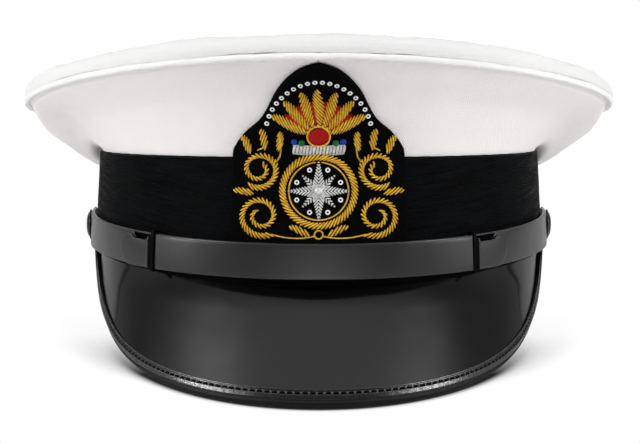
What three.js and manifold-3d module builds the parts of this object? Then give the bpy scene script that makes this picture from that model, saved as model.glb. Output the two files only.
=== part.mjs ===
// A peaked cap: white twill crown, black ribbed band, felt badge, patent leather strap and peak.
// Millimetres, +Z up. The front of the cap faces -Y and its right-hand side in a front view is +X.
// Every piece is worked out upright, with the front foot of the band at z = 0, and the whole cap is
// then leaned back until it rests on the edge of its peak and the back of its band.
import * as THREE from 'three';
import { mergeVertices } from 'three/addons/utils/BufferGeometryUtils.js';
import Module from 'manifold-3d';

const wasm = await Module();
wasm.setup();

const DEGREE = Math.PI / 180;

// Band: an oval wall, a little wider at its foot. A turn of 0 is the front, 90 the +X side.
const BAND = { halfWidth: 88, halfLength: 100, top: 47, flare: 2.5, wall: 2.6 };
const BAND_FOOT = around({ front: 0, side: 9, back: 6 });

// Crown: the piping line is an oval above the band, high at the front and low at the back.
const CROWN = { halfWidth: 116.5, halfLength: 127, setBack: 4, wall: 1.6, seam: 0.35, split: 0.15, dip: 2 };
const RIM_RISE = around({ front: 36.5, side: 17.5, back: 6 });
const PIPING = { radius: 1.2, out: 0.9, up: 0.4, tuck: 0.9 };

// A side panel in section, from the band to the piping, in shares of its overhang, rise and sag.
const SIDE_PROFILE = [
  { spot: 'seam', out: 0, up: 0, sag: 0 },
  { spot: 'band edge', out: 0.05, up: 0.1, sag: 0 },
  { spot: 'lower', out: 0.2, up: 0.36, sag: 0.85 },
  { spot: 'middle', out: 0.43, up: 0.63, sag: 1 },
  { spot: 'upper', out: 0.76, up: 0.86, sag: 0.84 },
  { spot: 'under piping', out: 0.93, up: 0.96, sag: 0.6 },
  { spot: 'piping', out: 1, up: 1, sag: 0 },
];
// The cloth hangs slack behind the temples, by this much below its taut line.
const SIDE_SAG = [
  { turn: 0, sag: 0 },
  { turn: 78, sag: 1 },
  { turn: 112, sag: 14 },
  { turn: 150, sag: 13 },
  { turn: 180, sag: 11 },
];
// The rolled edge of the top panel, out and up from the piping line.
const ROLL_PROFILE = [
  { spot: 'lower edge', out: -0.3, up: 1.9 },
  { spot: 'bulge', out: 2.3, up: 4 },
  { spot: 'shoulder', out: 1.5, up: 6.4 },
  { spot: 'crest', out: -2, up: 8 },
  { spot: 'top', out: -8, up: 8.4 },
];
const TOP_SHARES = [0.8, 0.5, 0.22];

// Peak: the front foot of the band carried forwards and down by its reach.
const PEAK = { reach: 49.5, endReach: 5, slope: 49 * DEGREE, halfTurn: 82, wall: 2.2, bulge: 1.5 };
const PEAK_ROOT = { inset: 2.6, taper: 0.08, gap: 0.35 };
const PEAK_OUTLINE = { power: 4, round: 0.62 };
// Binding in section: out past the edge of the peak and up from its middle, outer skin and inner.
const BINDING_PROFILE = [
  { out: -4.6, up: 2.2, innerOut: -4.6, innerUp: 1.4 },
  { out: -0.6, up: 2.5, innerOut: -0.5, innerUp: 1.4 },
  { out: 1.1, up: 1.9, innerOut: 0.3, innerUp: 1.3 },
  { out: 1.7, up: 0, innerOut: 0.35, innerUp: 0 },
  { out: 1.1, up: -1.9, innerOut: 0.3, innerUp: -1.3 },
  { out: -0.6, up: -2.5, innerOut: -0.5, innerUp: -1.4 },
  { out: -4.6, up: -2.2, innerOut: -4.6, innerUp: -1.4 },
];

// Strap: height of its centre line on the band, and how far it stands off to clear the badge.
const STRAP = { width: 13, under: 1.3, upper: 1.5, gap: 0.3 };
// A round tip of a strap: its length, the shares of it that get a section, and its blunt end's share.
const TIP = { length: 6.5, shares: [0.02, 0.12, 0.35, 0.65], blunt: 0.12 };
const STRAP_HEIGHT = around({ front: 9.7, side: 17.5, back: 22 });
const STRAP_STAND = around({ front: 3.5, side: 0.5, back: 0.5 });
const BUTTON = { turn: 89, shank: 1.4, hole: 1.9, stand: 0.3 };
// A button in section, out from its axis and up from the strap it sits on.
const BUTTON_PROFILE = [
  { spot: 'back edge', out: 5.6, up: 0 },
  { spot: 'rim', out: 6, up: 0.4 },
  { spot: 'front edge', out: 5.7, up: 0.8 },
  { spot: 'dome foot', out: 5.2, up: 1.3 },
  { spot: 'dome', out: 3.9, up: 1.8 },
  { spot: 'dome top', out: 2.1, up: 2.1 },
  { spot: 'middle', out: 0, up: 2.2 },
];
const STRAP_END_TURN = 93.5;
const FRONT_STRAP = { from: -39.4, to: 36.6 };
const SLIDES = [
  { side: 'left', keeper: -41.05, inner: -42.7, tip: -52.3 },
  { side: 'right', keeper: 37.75, inner: 38.9, tip: 48.2 },
];
const SLIDE = { width: 11.6, lower: 0.7, fold: 0.5 };
const KEEPER = { length: 1.5, wall: 0.8, room: 0.4 };

// Badge patch: half width of its bell outline at heights above the front foot of the band.
const PATCH = { wall: 2.2, gap: 0.4, columns: 12 };
const PATCH_OUTLINE = [
  { up: 13, half: 31.8 },
  { up: 30, half: 31.5 },
  { up: 48, half: 30.8 },
  { up: 52.6, half: 29.6 },
  { up: 57, half: 26.4 },
  { up: 61.4, half: 21.4 },
  { up: 66, half: 18.4 },
  { up: 71.5, half: 15.6 },
  { up: 76, half: 12 },
  { up: 79.5, half: 7.5 },
  { up: 81.4, half: 2.5 },
];
// Embroidery: a star in a rope ring, a palmette over it and two scrolls on each side.
const RELIEF = { lift: 0.35, thick: 1.3 };
const RING = { up: 35, radius: 12.6, cord: 1.3 };
const STAR = { points: 8, long: 10.4, short: 7, valley: 3, crown: 1.9 };
const PALMETTE = { up: 56, petals: 7, fan: 132, length: 18, width: 5, edge: 0.4, heart: 3.6 };
// Half width of a petal along its length, as a share of the widest, and the dome of the heart.
const PETAL_PROFILE = [
  { along: 0, wide: 0.12 },
  { along: 0.2, wide: 0.24 },
  { along: 0.45, wide: 0.76 },
  { along: 0.7, wide: 0.99 },
  { along: 0.9, wide: 0.46 },
  { along: 1, wide: 0.12 },
];
const HEART_PROFILE = [
  { out: 1, up: 0 },
  { out: 1, up: 0.7 },
  { out: 0.6, up: 1.6 },
  { out: 0, up: 2 },
];
const SCROLLS = [
  { level: 'lower', up: 26, across: 20.4, radius: 7.6, from: -150 },
  { level: 'upper', up: 43, across: 20.9, radius: 7, from: 150 },
];
const SCROLL = { turns: 1.5, core: 0.3, cord: 1.15, thinning: 0.35 };

// What rests on the floor is pressed flat by the squash; the floor is a slab larger than the cap.
const REST_SQUASH = 0.6;
const FLOOR = { side: 600, depth: 40 };
// How many steps each shape is drawn in, and the small moves that measure a slope.
const STEPS = {
  round: 64,
  half: 32,
  peak: 36,
  slope: 4,
  strap: 40,
  upper: 32,
  slide: 6,
  keeper: 2,
  button: 18,
  hole: 12,
  cord: 6,
  ring: 36,
  heart: 12,
  scroll: 20,
};
const NUDGE = { turn: 0.01, mm: 0.5 };

const COLOURS = {
  white: { color: 0xf1efee, roughness: 0.85, metalness: 0 },
  black: { color: 0x121214, roughness: 0.9, metalness: 0 },
  patent: { color: 0x17181a, roughness: 0.15, metalness: 0 },
  gold: { color: 0xc08a24, roughness: 0.4, metalness: 0.8 },
  silver: { color: 0xc8c9cc, roughness: 0.35, metalness: 0.8 },
};

// A value that runs round the cap through its front, side and back. A share below 1 reads it nearer
// the middle of a disc with that rim.
function around({ front, side, back }) {
  const lean = (front - back) / 2;
  const mean = (front + back) / 2;
  const level = (mean + side) / 2;
  const twist = (mean - side) / 2;
  return (turn, share = 1) =>
    level + lean * share * Math.cos(turn) + twist * share * share * Math.cos(2 * turn);
}

function oval(turn, halfWidth, halfLength, setBack, z) {
  return new THREE.Vector3(halfWidth * Math.sin(turn), setBack - halfLength * Math.cos(turn), z);
}

function steps(count, from, to) {
  return Array.from({ length: count + 1 }, (_, i) => from + ((to - from) * i) / count);
}

// Reads a column of a table between its rows, easing at each row where asked.
function tableAt(rows, key, column, value, ease = false) {
  const next = rows.findIndex((row) => row[key] >= value);
  if (next === -1) return rows.at(-1)[column];
  if (next === 0) return rows[0][column];
  const [low, high] = [rows[next - 1], rows[next]];
  const share = (value - low[key]) / (high[key] - low[key]);
  const weight = ease ? share * share * (3 - 2 * share) : share;
  return low[column] + (high[column] - low[column]) * weight;
}

function signedVolume(geometry) {
  const place = geometry.getAttribute('position');
  const index = geometry.getIndex();
  const corner = (i) => new THREE.Vector3().fromBufferAttribute(place, index.getX(i));
  let volume = 0;
  for (let i = 0; i < index.count; i += 3) {
    volume += corner(i).dot(corner(i + 1).cross(corner(i + 2))) / 6;
  }
  return volume;
}

// A closed skin through loops of points. A loop of one point is a pole, and open ends are closed
// across, from each point of the loop to the one that faces it.
function loft(loops, closed = false) {
  const corners = [];
  const face = (...points) => corners.push(...points);
  const last = closed ? loops.length : loops.length - 1;
  for (let i = 0; i < last; i++) {
    const a = loops[i];
    const b = loops[(i + 1) % loops.length];
    const count = Math.max(a.length, b.length);
    for (let j = 0; j < count; j++) {
      const k = (j + 1) % count;
      if (a.length > 1) face(a[j], a[k], b[k % b.length]);
      if (b.length > 1) face(a[j % a.length], b[k], b[j]);
    }
  }
  if (!closed) {
    const [first, final] = [loops[0], loops.at(-1)];
    for (let k = 0; k + 1 < first.length / 2; k++) {
      const across = first.length - 1 - k;
      face(first[k + 1], first[k], first[across]);
      face(first[k + 1], first[across], first[across - 1]);
    }
    for (let k = 0; k + 1 < final.length / 2; k++) {
      const across = final.length - 1 - k;
      face(final[k], final[k + 1], final[across - 1]);
      face(final[k], final[across - 1], final[across]);
    }
  }
  const geometry = mergeVertices(new THREE.BufferGeometry().setFromPoints(corners), 1e-3);
  if (signedVolume(geometry) < 0) geometry.index.array.reverse();
  return geometry;
}

// Offsets an open line in a section plane to the left of its run, at each point.
function offsetLine(line, distance) {
  return line.map((point, i) => {
    const before = line[Math.max(i - 1, 0)];
    const after = line[Math.min(i + 1, line.length - 1)];
    const run = new THREE.Vector2(after.x - before.x, after.y - before.y).normalize();
    return new THREE.Vector2(point.x - run.y * distance, point.y + run.x * distance);
  });
}

function bandHalf(z) {
  const spread = BAND.flare * (1 - z / BAND.top);
  return { width: BAND.halfWidth + spread, length: BAND.halfLength + spread };
}

// A point on the outer face of the band, moved out by a stand-off.
function bandPoint(turn, z, stand = 0) {
  const half = bandHalf(z);
  return oval(turn, half.width + stand, half.length + stand, 0, z);
}

function outward(turn, halfWidth, halfLength) {
  return new THREE.Vector3(Math.sin(turn) / halfWidth, -Math.cos(turn) / halfLength, 0).normalize();
}

function capBand() {
  const turns = steps(STEPS.round, 0, 2 * Math.PI).slice(0, -1);
  const loops = turns.map((turn) => {
    const foot = BAND_FOOT(turn);
    return [
      bandPoint(turn, foot),
      bandPoint(turn, BAND.top),
      bandPoint(turn, BAND.top, -BAND.wall),
      bandPoint(turn, foot, -BAND.wall),
    ];
  });
  return loft(loops, true);
}

// Plan of a side panel: from the middle of the band's wall out to the piping line.
function sidePlan(turn, share, z) {
  const inner = -BAND.wall / 2;
  const low = bandPoint(turn, BAND.top, inner);
  const tuck = -PIPING.tuck;
  const high = oval(turn, CROWN.halfWidth + tuck, CROWN.halfLength + tuck, CROWN.setBack, 0);
  return low.lerp(high, share).setZ(z);
}

function sideSection(turn) {
  const overhang = sidePlan(turn, 1, 0).distanceTo(sidePlan(turn, 0, 0));
  const rise = RIM_RISE(turn) - PIPING.tuck - CROWN.seam;
  const folded = Math.abs(turn / DEGREE);
  const sag = tableAt(SIDE_SAG, 'turn', 'sag', folded, true);
  return SIDE_PROFILE.map((row) => new THREE.Vector2(row.out * overhang, row.up * rise - row.sag * sag));
}

function crownSide(sign) {
  const gap = CROWN.split / CROWN.halfLength;
  const turns = steps(STEPS.half, gap, Math.PI - gap).map((turn) => sign * turn);
  const loops = turns.map((turn) => {
    const outer = sideSection(turn);
    const inner = offsetLine(outer, CROWN.wall);
    const overhang = outer.at(-1).x;
    const place = (p) => sidePlan(turn, p.x / overhang, BAND.top + CROWN.seam + p.y);
    return [...outer.map(place), ...inner.reverse().map(place)];
  });
  return loft(loops);
}

function rimPoint(turn, out, up) {
  const z = BAND.top + RIM_RISE(turn) + up;
  return oval(turn, CROWN.halfWidth + out, CROWN.halfLength + out, CROWN.setBack, z);
}

function crownPiping() {
  const turns = steps(STEPS.round, 0, 2 * Math.PI).slice(0, -1);
  const sides = steps(STEPS.cord, 0, 2 * Math.PI).slice(0, -1);
  const loops = turns.map((turn) =>
    sides.map((angle) => {
      const out = PIPING.out + PIPING.radius * Math.cos(angle);
      return rimPoint(turn, out, PIPING.up + PIPING.radius * Math.sin(angle));
    }),
  );
  return loft(loops, true);
}

function crownTop() {
  const turns = steps(STEPS.round, 0, 2 * Math.PI).slice(0, -1);
  const roll = ROLL_PROFILE.map((row) => new THREE.Vector2(row.out, row.up));
  const { x: rimOut, y: rimUp } = roll.at(-1);
  const disc = (turn, share, drop) => {
    const z = BAND.top + RIM_RISE(turn, share) + rimUp - CROWN.dip * (1 - share * share) - drop;
    const half = { width: (CROWN.halfWidth + rimOut) * share, length: (CROWN.halfLength + rimOut) * share };
    return oval(turn, half.width, half.length, CROWN.setBack, z);
  };
  const ring = (point) => turns.map((turn) => rimPoint(turn, point.x, point.y));
  const flat = (share, drop) => turns.map((turn) => disc(turn, share, drop));
  const inner = offsetLine(roll, CROWN.wall);
  return loft([
    [disc(0, 0, 0)],
    ...TOP_SHARES.toReversed().map((share) => flat(share, 0)),
    ...roll.toReversed().map(ring),
    ...inner.map(ring),
    ...TOP_SHARES.map((share) => flat(share, CROWN.wall)),
    [disc(0, 0, CROWN.wall)],
  ]);
}

// One section of the peak: its root just under the band, its direction, its upward normal and its reach.
function peakSection(turn) {
  const foot = (t) => bandPoint(t, BAND_FOOT(t), -PEAK_ROOT.inset);
  const inward = -PEAK_ROOT.taper * Math.sin(turn);
  const along = new THREE.Vector3(inward, -Math.cos(PEAK.slope), -Math.sin(PEAK.slope)).normalize();
  const tangent = foot(turn + NUDGE.turn).sub(foot(turn - NUDGE.turn)).normalize();
  const normal = along.clone().cross(tangent).normalize();
  const root = foot(turn);
  root.z -= PEAK_ROOT.gap + (PEAK.wall / 2) * normal.z;
  const share = Math.abs(turn) / (PEAK.halfTurn * DEGREE);
  const grown = Math.pow(Math.max(1 - share ** PEAK_OUTLINE.power, 0), PEAK_OUTLINE.round);
  const reach = PEAK.endReach + (PEAK.reach - PEAK.endReach) * grown;
  return { root, along, normal, reach, bulge: PEAK.bulge * grown };
}

function peakTurns() {
  const halfTurn = PEAK.halfTurn * DEGREE;
  return steps(STEPS.peak, -1, 1).map((share) => Math.sin((share * Math.PI) / 2) * halfTurn);
}

function peakPoint(section, share, up) {
  const crown = section.bulge * Math.sin(Math.PI * share) + up;
  return section.root
    .clone()
    .addScaledVector(section.along, section.reach * share)
    .addScaledVector(section.normal, crown);
}

function peakShell() {
  const shares = steps(STEPS.slope, 0, 1);
  const loops = peakTurns().map((turn) => {
    const section = peakSection(turn);
    const upper = shares.map((share) => peakPoint(section, share, PEAK.wall / 2));
    const lower = shares.map((share) => peakPoint(section, share, -PEAK.wall / 2));
    return [...upper, ...lower.reverse()];
  });
  return loft(loops);
}

function bindingPoint(section, out, up) {
  return peakPoint(section, 1 + out / section.reach, up);
}

function peakBinding() {
  const loops = peakTurns().map((turn) => {
    const section = peakSection(turn);
    const outer = BINDING_PROFILE.map((row) => bindingPoint(section, row.out, row.up));
    const inner = BINDING_PROFILE.map((row) => bindingPoint(section, row.innerOut, row.innerUp));
    return [...outer, ...inner.reverse()];
  });
  return loft(loops);
}

// A strip of leather round the band, between two turns, with round tips where asked.
function strip({ from, to, width, lower = 0, stand, thick, tips, count }) {
  const tip = TIP.length / BAND.halfLength;
  const near = TIP.shares.map((share) => share * tip * Math.sign(to - from));
  const turns = [
    ...steps(count, from, to),
    ...(tips.from ? near.map((gap) => from + gap) : []),
    ...(tips.to ? near.map((gap) => to - gap) : []),
  ].sort((a, b) => a - b);
  const kept = turns.filter((turn, i) => i === 0 || turn - turns[i - 1] > NUDGE.turn / 6);
  const roundAt = (turn) => {
    const gaps = [tips.from ? Math.abs(turn - from) : tip, tips.to ? Math.abs(turn - to) : tip];
    const share = Math.min(Math.min(...gaps) / tip, 1);
    return Math.max(Math.sqrt(1 - (1 - share) ** 2), TIP.blunt);
  };
  const loops = kept.map((turn) => {
    const half = (width / 2) * roundAt(turn);
    const middle = STRAP_HEIGHT(turn) - lower;
    const base = STRAP_STAND(turn) + stand;
    return [
      bandPoint(turn, middle - half, base),
      bandPoint(turn, middle + half, base),
      bandPoint(turn, middle + half, base + thick),
      bandPoint(turn, middle - half, base + thick),
    ];
  });
  return loft(loops);
}

function chinStrap() {
  const end = STRAP_END_TURN * DEGREE;
  const body = strip({
    from: -end,
    to: end,
    width: STRAP.width,
    stand: 0,
    thick: STRAP.under,
    tips: { from: true, to: true },
    count: STEPS.strap,
  });
  const holes = [-1, 1].map((sign) => {
    const hole = new THREE.CylinderGeometry(BUTTON.hole, BUTTON.hole, 6 * STRAP.under, STEPS.hole);
    return hole.applyMatrix4(buttonPlace(sign));
  });
  return cut(body, holes);
}

const upperStand = STRAP.under + STRAP.gap;

function frontStrap() {
  return strip({
    from: FRONT_STRAP.from * DEGREE,
    to: FRONT_STRAP.to * DEGREE,
    width: STRAP.width,
    stand: upperStand,
    thick: STRAP.upper,
    tips: { from: false, to: false },
    count: STEPS.upper,
  });
}

function strapSlide({ inner, tip }) {
  return strip({
    from: inner * DEGREE,
    to: tip * DEGREE,
    width: SLIDE.width,
    lower: SLIDE.lower,
    stand: upperStand,
    thick: STRAP.upper + SLIDE.fold,
    tips: { from: false, to: true },
    count: STEPS.slide,
  });
}

// A narrow loop of leather round the strap, beside the slide.
function strapKeeper({ keeper }) {
  const half = KEEPER.length / 2 / BAND.halfLength;
  const sleeve = (grow, overrun) =>
    strip({
      from: keeper * DEGREE - half - overrun,
      to: keeper * DEGREE + half + overrun,
      width: STRAP.width + 2 * grow,
      stand: -grow,
      thick: STRAP.under + 2 * grow,
      tips: { from: false, to: false },
      count: STEPS.keeper,
    });
  return cut(sleeve(KEEPER.room + KEEPER.wall, 0), [sleeve(KEEPER.room, half)]);
}

// Where a button sits on the strap: its own axis, +Y, points out from the band.
function buttonPlace(sign) {
  const turn = sign * BUTTON.turn * DEGREE;
  const z = STRAP_HEIGHT(turn);
  const stand = STRAP_STAND(turn) + STRAP.under + BUTTON.stand;
  const half = bandHalf(z);
  const axis = outward(turn, half.width, half.length);
  const turned = new THREE.Quaternion().setFromUnitVectors(new THREE.Vector3(0, 1, 0), axis);
  return new THREE.Matrix4().compose(bandPoint(turn, z, stand), turned, new THREE.Vector3(1, 1, 1));
}

function sideButton() {
  const under = -STRAP.under - BUTTON.stand;
  const profile = [
    { out: 0, up: under },
    { out: BUTTON.shank, up: under },
    { out: BUTTON.shank, up: 0 },
    ...BUTTON_PROFILE,
  ];
  const turns = steps(STEPS.button, 0, 2 * Math.PI).slice(0, -1);
  const ring = ({ out, up }) =>
    out === 0
      ? [new THREE.Vector3(0, up, 0)]
      : turns.map((turn) => new THREE.Vector3(out * Math.sin(turn), up, out * Math.cos(turn)));
  return loft(profile.map(ring));
}

// The outer face of the cap at its front, at a distance across and a height, with a stand-off.
function frontFace(across, z, stand) {
  const point = (x, height) => {
    const share = height <= BAND.top ? 0 : frontShare(x, height);
    const inner = height <= BAND.top ? 0 : -BAND.wall / 2;
    const half = bandHalf(Math.min(height, BAND.top));
    const low = half.width + inner;
    const wide = THREE.MathUtils.lerp(low, CROWN.halfWidth - PIPING.tuck, share);
    const turn = Math.asin(x / wide);
    if (height <= BAND.top) return bandPoint(turn, height);
    return sidePlan(turn, share, height);
  };
  const here = point(across, z);
  const sideways = point(across + NUDGE.mm, z).sub(point(across - NUDGE.mm, z));
  const upwards = point(across, z + NUDGE.mm).sub(point(across, z - NUDGE.mm));
  return here.addScaledVector(sideways.cross(upwards).normalize(), stand);
}

function frontShare(across, height) {
  const turn = Math.asin(across / CROWN.halfWidth);
  const rise = RIM_RISE(turn) - PIPING.tuck - CROWN.seam;
  const overhang = sidePlan(turn, 1, 0).distanceTo(sidePlan(turn, 0, 0));
  const share = Math.max((height - BAND.top - CROWN.seam) / rise, 0);
  return Math.max(tableAt(SIDE_PROFILE, 'up', 'out', share), BAND.wall / 2 / overhang);
}

function badgePatch() {
  const columns = steps(PATCH.columns, -1, 1);
  const loops = PATCH_OUTLINE.map(({ up, half }) => {
    const line = (stand) => columns.map((share) => frontFace(share * half, up, stand));
    return [...line(PATCH.gap + PATCH.wall), ...line(PATCH.gap).reverse()];
  });
  return loft(loops);
}

// A point on the embroidery: across and up on the front of the patch, raised by a height.
function reliefPoint(across, up, raised) {
  return frontFace(across, up, PATCH.gap + PATCH.wall + RELIEF.lift + raised);
}

// A six-sided cord on the patch, through places with a radius each.
function reliefCord(places, closed) {
  const sides = steps(STEPS.cord, 0, 2 * Math.PI).slice(0, -1);
  const loops = places.map(({ across, up, run, cord }) =>
    sides.map((angle) => {
      const side = cord * Math.cos(angle);
      return reliefPoint(across - run.y * side, up + run.x * side, cord + cord * Math.sin(angle));
    }),
  );
  return loft(loops, closed);
}

function badgeRing() {
  const places = steps(STEPS.ring, 0, 2 * Math.PI).slice(0, -1).map((angle) => ({
    across: RING.radius * Math.cos(angle),
    up: RING.up + RING.radius * Math.sin(angle),
    run: new THREE.Vector2(-Math.sin(angle), Math.cos(angle)),
    cord: RING.cord,
  }));
  return reliefCord(places, true);
}

function badgeStar() {
  const corners = steps(STAR.points * 2, 0, 2 * Math.PI).slice(0, -1).map((angle, i) => {
    const point = i % 4 === 0 ? STAR.long : STAR.short;
    const radius = i % 2 === 0 ? point : STAR.valley;
    return { across: radius * Math.sin(angle), up: RING.up + radius * Math.cos(angle) };
  });
  const ring = (raised) => corners.map(({ across, up }) => reliefPoint(across, up, raised));
  return loft([
    [reliefPoint(0, RING.up, 0)],
    ring(0),
    ring(RELIEF.thick / 2),
    [reliefPoint(0, RING.up, STAR.crown)],
  ]);
}

function petal(angle) {
  const run = new THREE.Vector2(Math.sin(angle), Math.cos(angle));
  const loops = PETAL_PROFILE.map(({ along, wide }) => {
    const half = (PALMETTE.width / 2) * wide;
    const length = PALMETTE.length * along;
    const at = (side, raised) => {
      const across = run.x * length + run.y * side;
      return reliefPoint(across, PALMETTE.up + run.y * length - run.x * side, raised);
    };
    const { edge } = PALMETTE;
    return [at(-half, 0), at(-half, edge), at(0, RELIEF.thick), at(half, edge), at(half, 0), at(0, 0)];
  });
  return loft(loops);
}

function badgePalmette() {
  const half = (PALMETTE.fan / 2) * DEGREE;
  const petals = steps(PALMETTE.petals - 1, -half, half).map(petal);
  const turns = steps(STEPS.heart, 0, 2 * Math.PI).slice(0, -1);
  const ring = ({ out, up }) => {
    if (out === 0) return [reliefPoint(0, PALMETTE.up, up)];
    const radius = PALMETTE.heart * out;
    return turns.map((turn) =>
      reliefPoint(radius * Math.sin(turn), PALMETTE.up + radius * Math.cos(turn), up),
    );
  };
  const heart = loft([{ out: 0, up: 0 }, ...HEART_PROFILE].map(ring));
  return join([heart, ...petals]);
}

function badgeScroll({ up, across, radius, from }, sign) {
  const places = steps(STEPS.scroll, 0, 1).map((share) => {
    const angle = from * DEGREE + Math.sign(from) * share * SCROLL.turns * 2 * Math.PI;
    const reach = radius * (1 - (1 - SCROLL.core) * share);
    return {
      across: sign * (across + reach * Math.sin(angle)),
      up: up + reach * Math.cos(angle),
      cord: SCROLL.cord * (1 - SCROLL.thinning * share),
    };
  });
  places.forEach((place, i) => {
    const before = places[Math.max(i - 1, 0)];
    const after = places[Math.min(i + 1, places.length - 1)];
    place.run = new THREE.Vector2(after.across - before.across, after.up - before.up).normalize();
  });
  return reliefCord(places, false);
}

function solid(geometry) {
  const merged = mergeVertices(geometry.clone().deleteAttribute('normal').deleteAttribute('uv'), 1e-4);
  return new wasm.Manifold(
    new wasm.Mesh({
      numProp: 3,
      vertProperties: new Float32Array(merged.getAttribute('position').array),
      triVerts: new Uint32Array(merged.getIndex().array),
    }),
  );
}

function skin(manifold) {
  const { vertProperties, triVerts } = manifold.getMesh();
  return new THREE.BufferGeometry()
    .setAttribute('position', new THREE.BufferAttribute(vertProperties, 3))
    .setIndex(new THREE.BufferAttribute(triVerts, 1));
}

function cut(geometry, tools) {
  return skin(tools.reduce((body, tool) => body.subtract(solid(tool)), solid(geometry)));
}

function join(geometries) {
  return skin(geometries.map(solid).reduce((body, other) => body.add(other)));
}

function piece(name, geometry, finish) {
  const mesh = new THREE.Mesh(geometry, new THREE.MeshStandardMaterial(COLOURS[finish]));
  mesh.name = name;
  return mesh;
}

const SIDES = [
  { side: 'left', sign: -1 },
  { side: 'right', sign: 1 },
];

const cap = new THREE.Group();
cap.add(piece('crown_top', crownTop(), 'white'));
cap.add(piece('crown_piping', crownPiping(), 'white'));
cap.add(piece('cap_band', capBand(), 'black'));
cap.add(piece('badge_patch', badgePatch(), 'black'));
cap.add(piece('badge_ring', badgeRing(), 'gold'));
cap.add(piece('badge_star', badgeStar(), 'silver'));
cap.add(piece('badge_palmette', badgePalmette(), 'gold'));
cap.add(piece('peak', peakShell(), 'patent'));
cap.add(piece('peak_binding', peakBinding(), 'patent'));
cap.add(piece('chin_strap', chinStrap(), 'patent'));
cap.add(piece('strap_front', frontStrap(), 'patent'));
for (const slide of SLIDES) {
  cap.add(piece(`strap_slide_${slide.side}`, strapSlide(slide), 'patent'));
  cap.add(piece(`strap_keeper_${slide.side}`, strapKeeper(slide), 'patent'));
}
for (const { side, sign } of SIDES) {
  cap.add(piece(`crown_side_${side}`, crownSide(sign), 'white'));
  const button = piece(`side_button_${side}`, sideButton(), 'patent');
  button.applyMatrix4(buttonPlace(sign));
  cap.add(button);
  for (const scroll of SCROLLS) {
    cap.add(piece(`badge_scroll_${side}_${scroll.level}`, badgeScroll(scroll, sign), 'gold'));
  }
}

// The cap leans back on the edge of its peak and the back of its band, and both are pressed a little
// flat where they rest. The steepest line from the back to any point under the binding is the floor.
const back = bandPoint(Math.PI, BAND_FOOT(Math.PI));
const leans = peakTurns().flatMap((turn) =>
  BINDING_PROFILE.map(({ out, up }) => {
    const low = bindingPoint(peakSection(turn), out, up);
    return Math.atan2(back.z - low.z, back.y - low.y);
  }),
);
cap.rotation.x = -Math.max(...leans);
const upright = new THREE.Box3().setFromObject(cap, true);
const middle = upright.getCenter(new THREE.Vector3());
cap.position.set(-middle.x, -middle.y, -upright.min.z - REST_SQUASH);
cap.updateMatrixWorld(true);

const floor = new THREE.BoxGeometry(FLOOR.side, FLOOR.side, FLOOR.depth).translate(0, 0, -FLOOR.depth / 2);
floor.applyMatrix4(cap.matrixWorld.clone().invert());
for (const name of ['cap_band', 'peak_binding']) {
  const mesh = cap.getObjectByName(name);
  mesh.geometry = cut(mesh.geometry, [floor]);
}

const part = new THREE.Group();
part.add(cap);

export default part;
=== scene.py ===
# %% [markdown]
# # A peaked cap in Blender
# The cap has a white twill crown, a black ribbed band, a felt badge patch worked in metal thread, a
# glossy chin strap on two buttons and a bound patent peak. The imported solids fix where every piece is.
# This lesson dresses each of them: fine meshes made from the same few sizes, Geometry Nodes for all
# that repeats, and materials that come from nodes alone.

# %% Bring in the frame
import math

import bmesh
import bpy
import numpy as np
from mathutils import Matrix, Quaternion, Vector


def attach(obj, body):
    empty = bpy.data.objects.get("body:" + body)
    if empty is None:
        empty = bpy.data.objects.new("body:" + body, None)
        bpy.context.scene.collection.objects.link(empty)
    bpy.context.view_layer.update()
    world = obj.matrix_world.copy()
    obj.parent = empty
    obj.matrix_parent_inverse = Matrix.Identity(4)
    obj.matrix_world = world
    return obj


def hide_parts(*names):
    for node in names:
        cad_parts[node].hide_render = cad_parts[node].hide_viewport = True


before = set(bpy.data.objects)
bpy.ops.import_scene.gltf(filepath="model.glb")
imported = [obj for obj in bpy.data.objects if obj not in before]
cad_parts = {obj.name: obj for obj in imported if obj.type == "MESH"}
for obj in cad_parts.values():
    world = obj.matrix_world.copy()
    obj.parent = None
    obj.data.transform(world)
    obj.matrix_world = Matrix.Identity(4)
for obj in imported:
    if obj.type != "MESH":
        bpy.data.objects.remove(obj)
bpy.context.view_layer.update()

# %% [markdown]
# ## Upright first, then leaned back
# A cap is easiest to draw upright, in millimetres, with the front foot of its band at zero. On a table
# it leans back on its peak. The top edge of the band is flat, so its highest point (the front) and its
# rearmost point (the back) give both the lean and the place, and nothing has to be fitted by eye.

# %% Measure the lean
MM = 0.001
BAND_TOP = 47.0

rim = np.array([vertex.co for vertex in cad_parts["cap_band"].data.vertices])
rim_front = rim[rim[:, 2].argmax()]
rim_back = rim[rim[:, 1].argmax()]
lean = math.atan2(rim_front[2] - rim_back[2], rim_back[1] - rim_front[1])
LEAN_TURN = np.array(
    [[1, 0, 0], [0, math.cos(lean), math.sin(lean)], [0, -math.sin(lean), math.cos(lean)]]
)
PLACE = (rim_front + rim_back) / 2 - LEAN_TURN @ np.array([0, 0, BAND_TOP]) * MM


def to_row(points):
    """Upright millimetres into the frame's metres."""
    return np.asarray(points, float) @ LEAN_TURN.T * MM + PLACE


def turned(directions):
    """Upright directions into the frame's directions."""
    return np.asarray(directions, float) @ LEAN_TURN.T


print("leans back", round(math.degrees(lean), 2), "degrees, place", np.round(PLACE, 4))

# %% [markdown]
# ## Lines that run round the cap
# A peaked cap is drawn by how high each line is at its front, side and back. Two cosine terms carry a
# value smoothly through those three. A turn of 0 is the front and 90 degrees the right-hand side.

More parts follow.
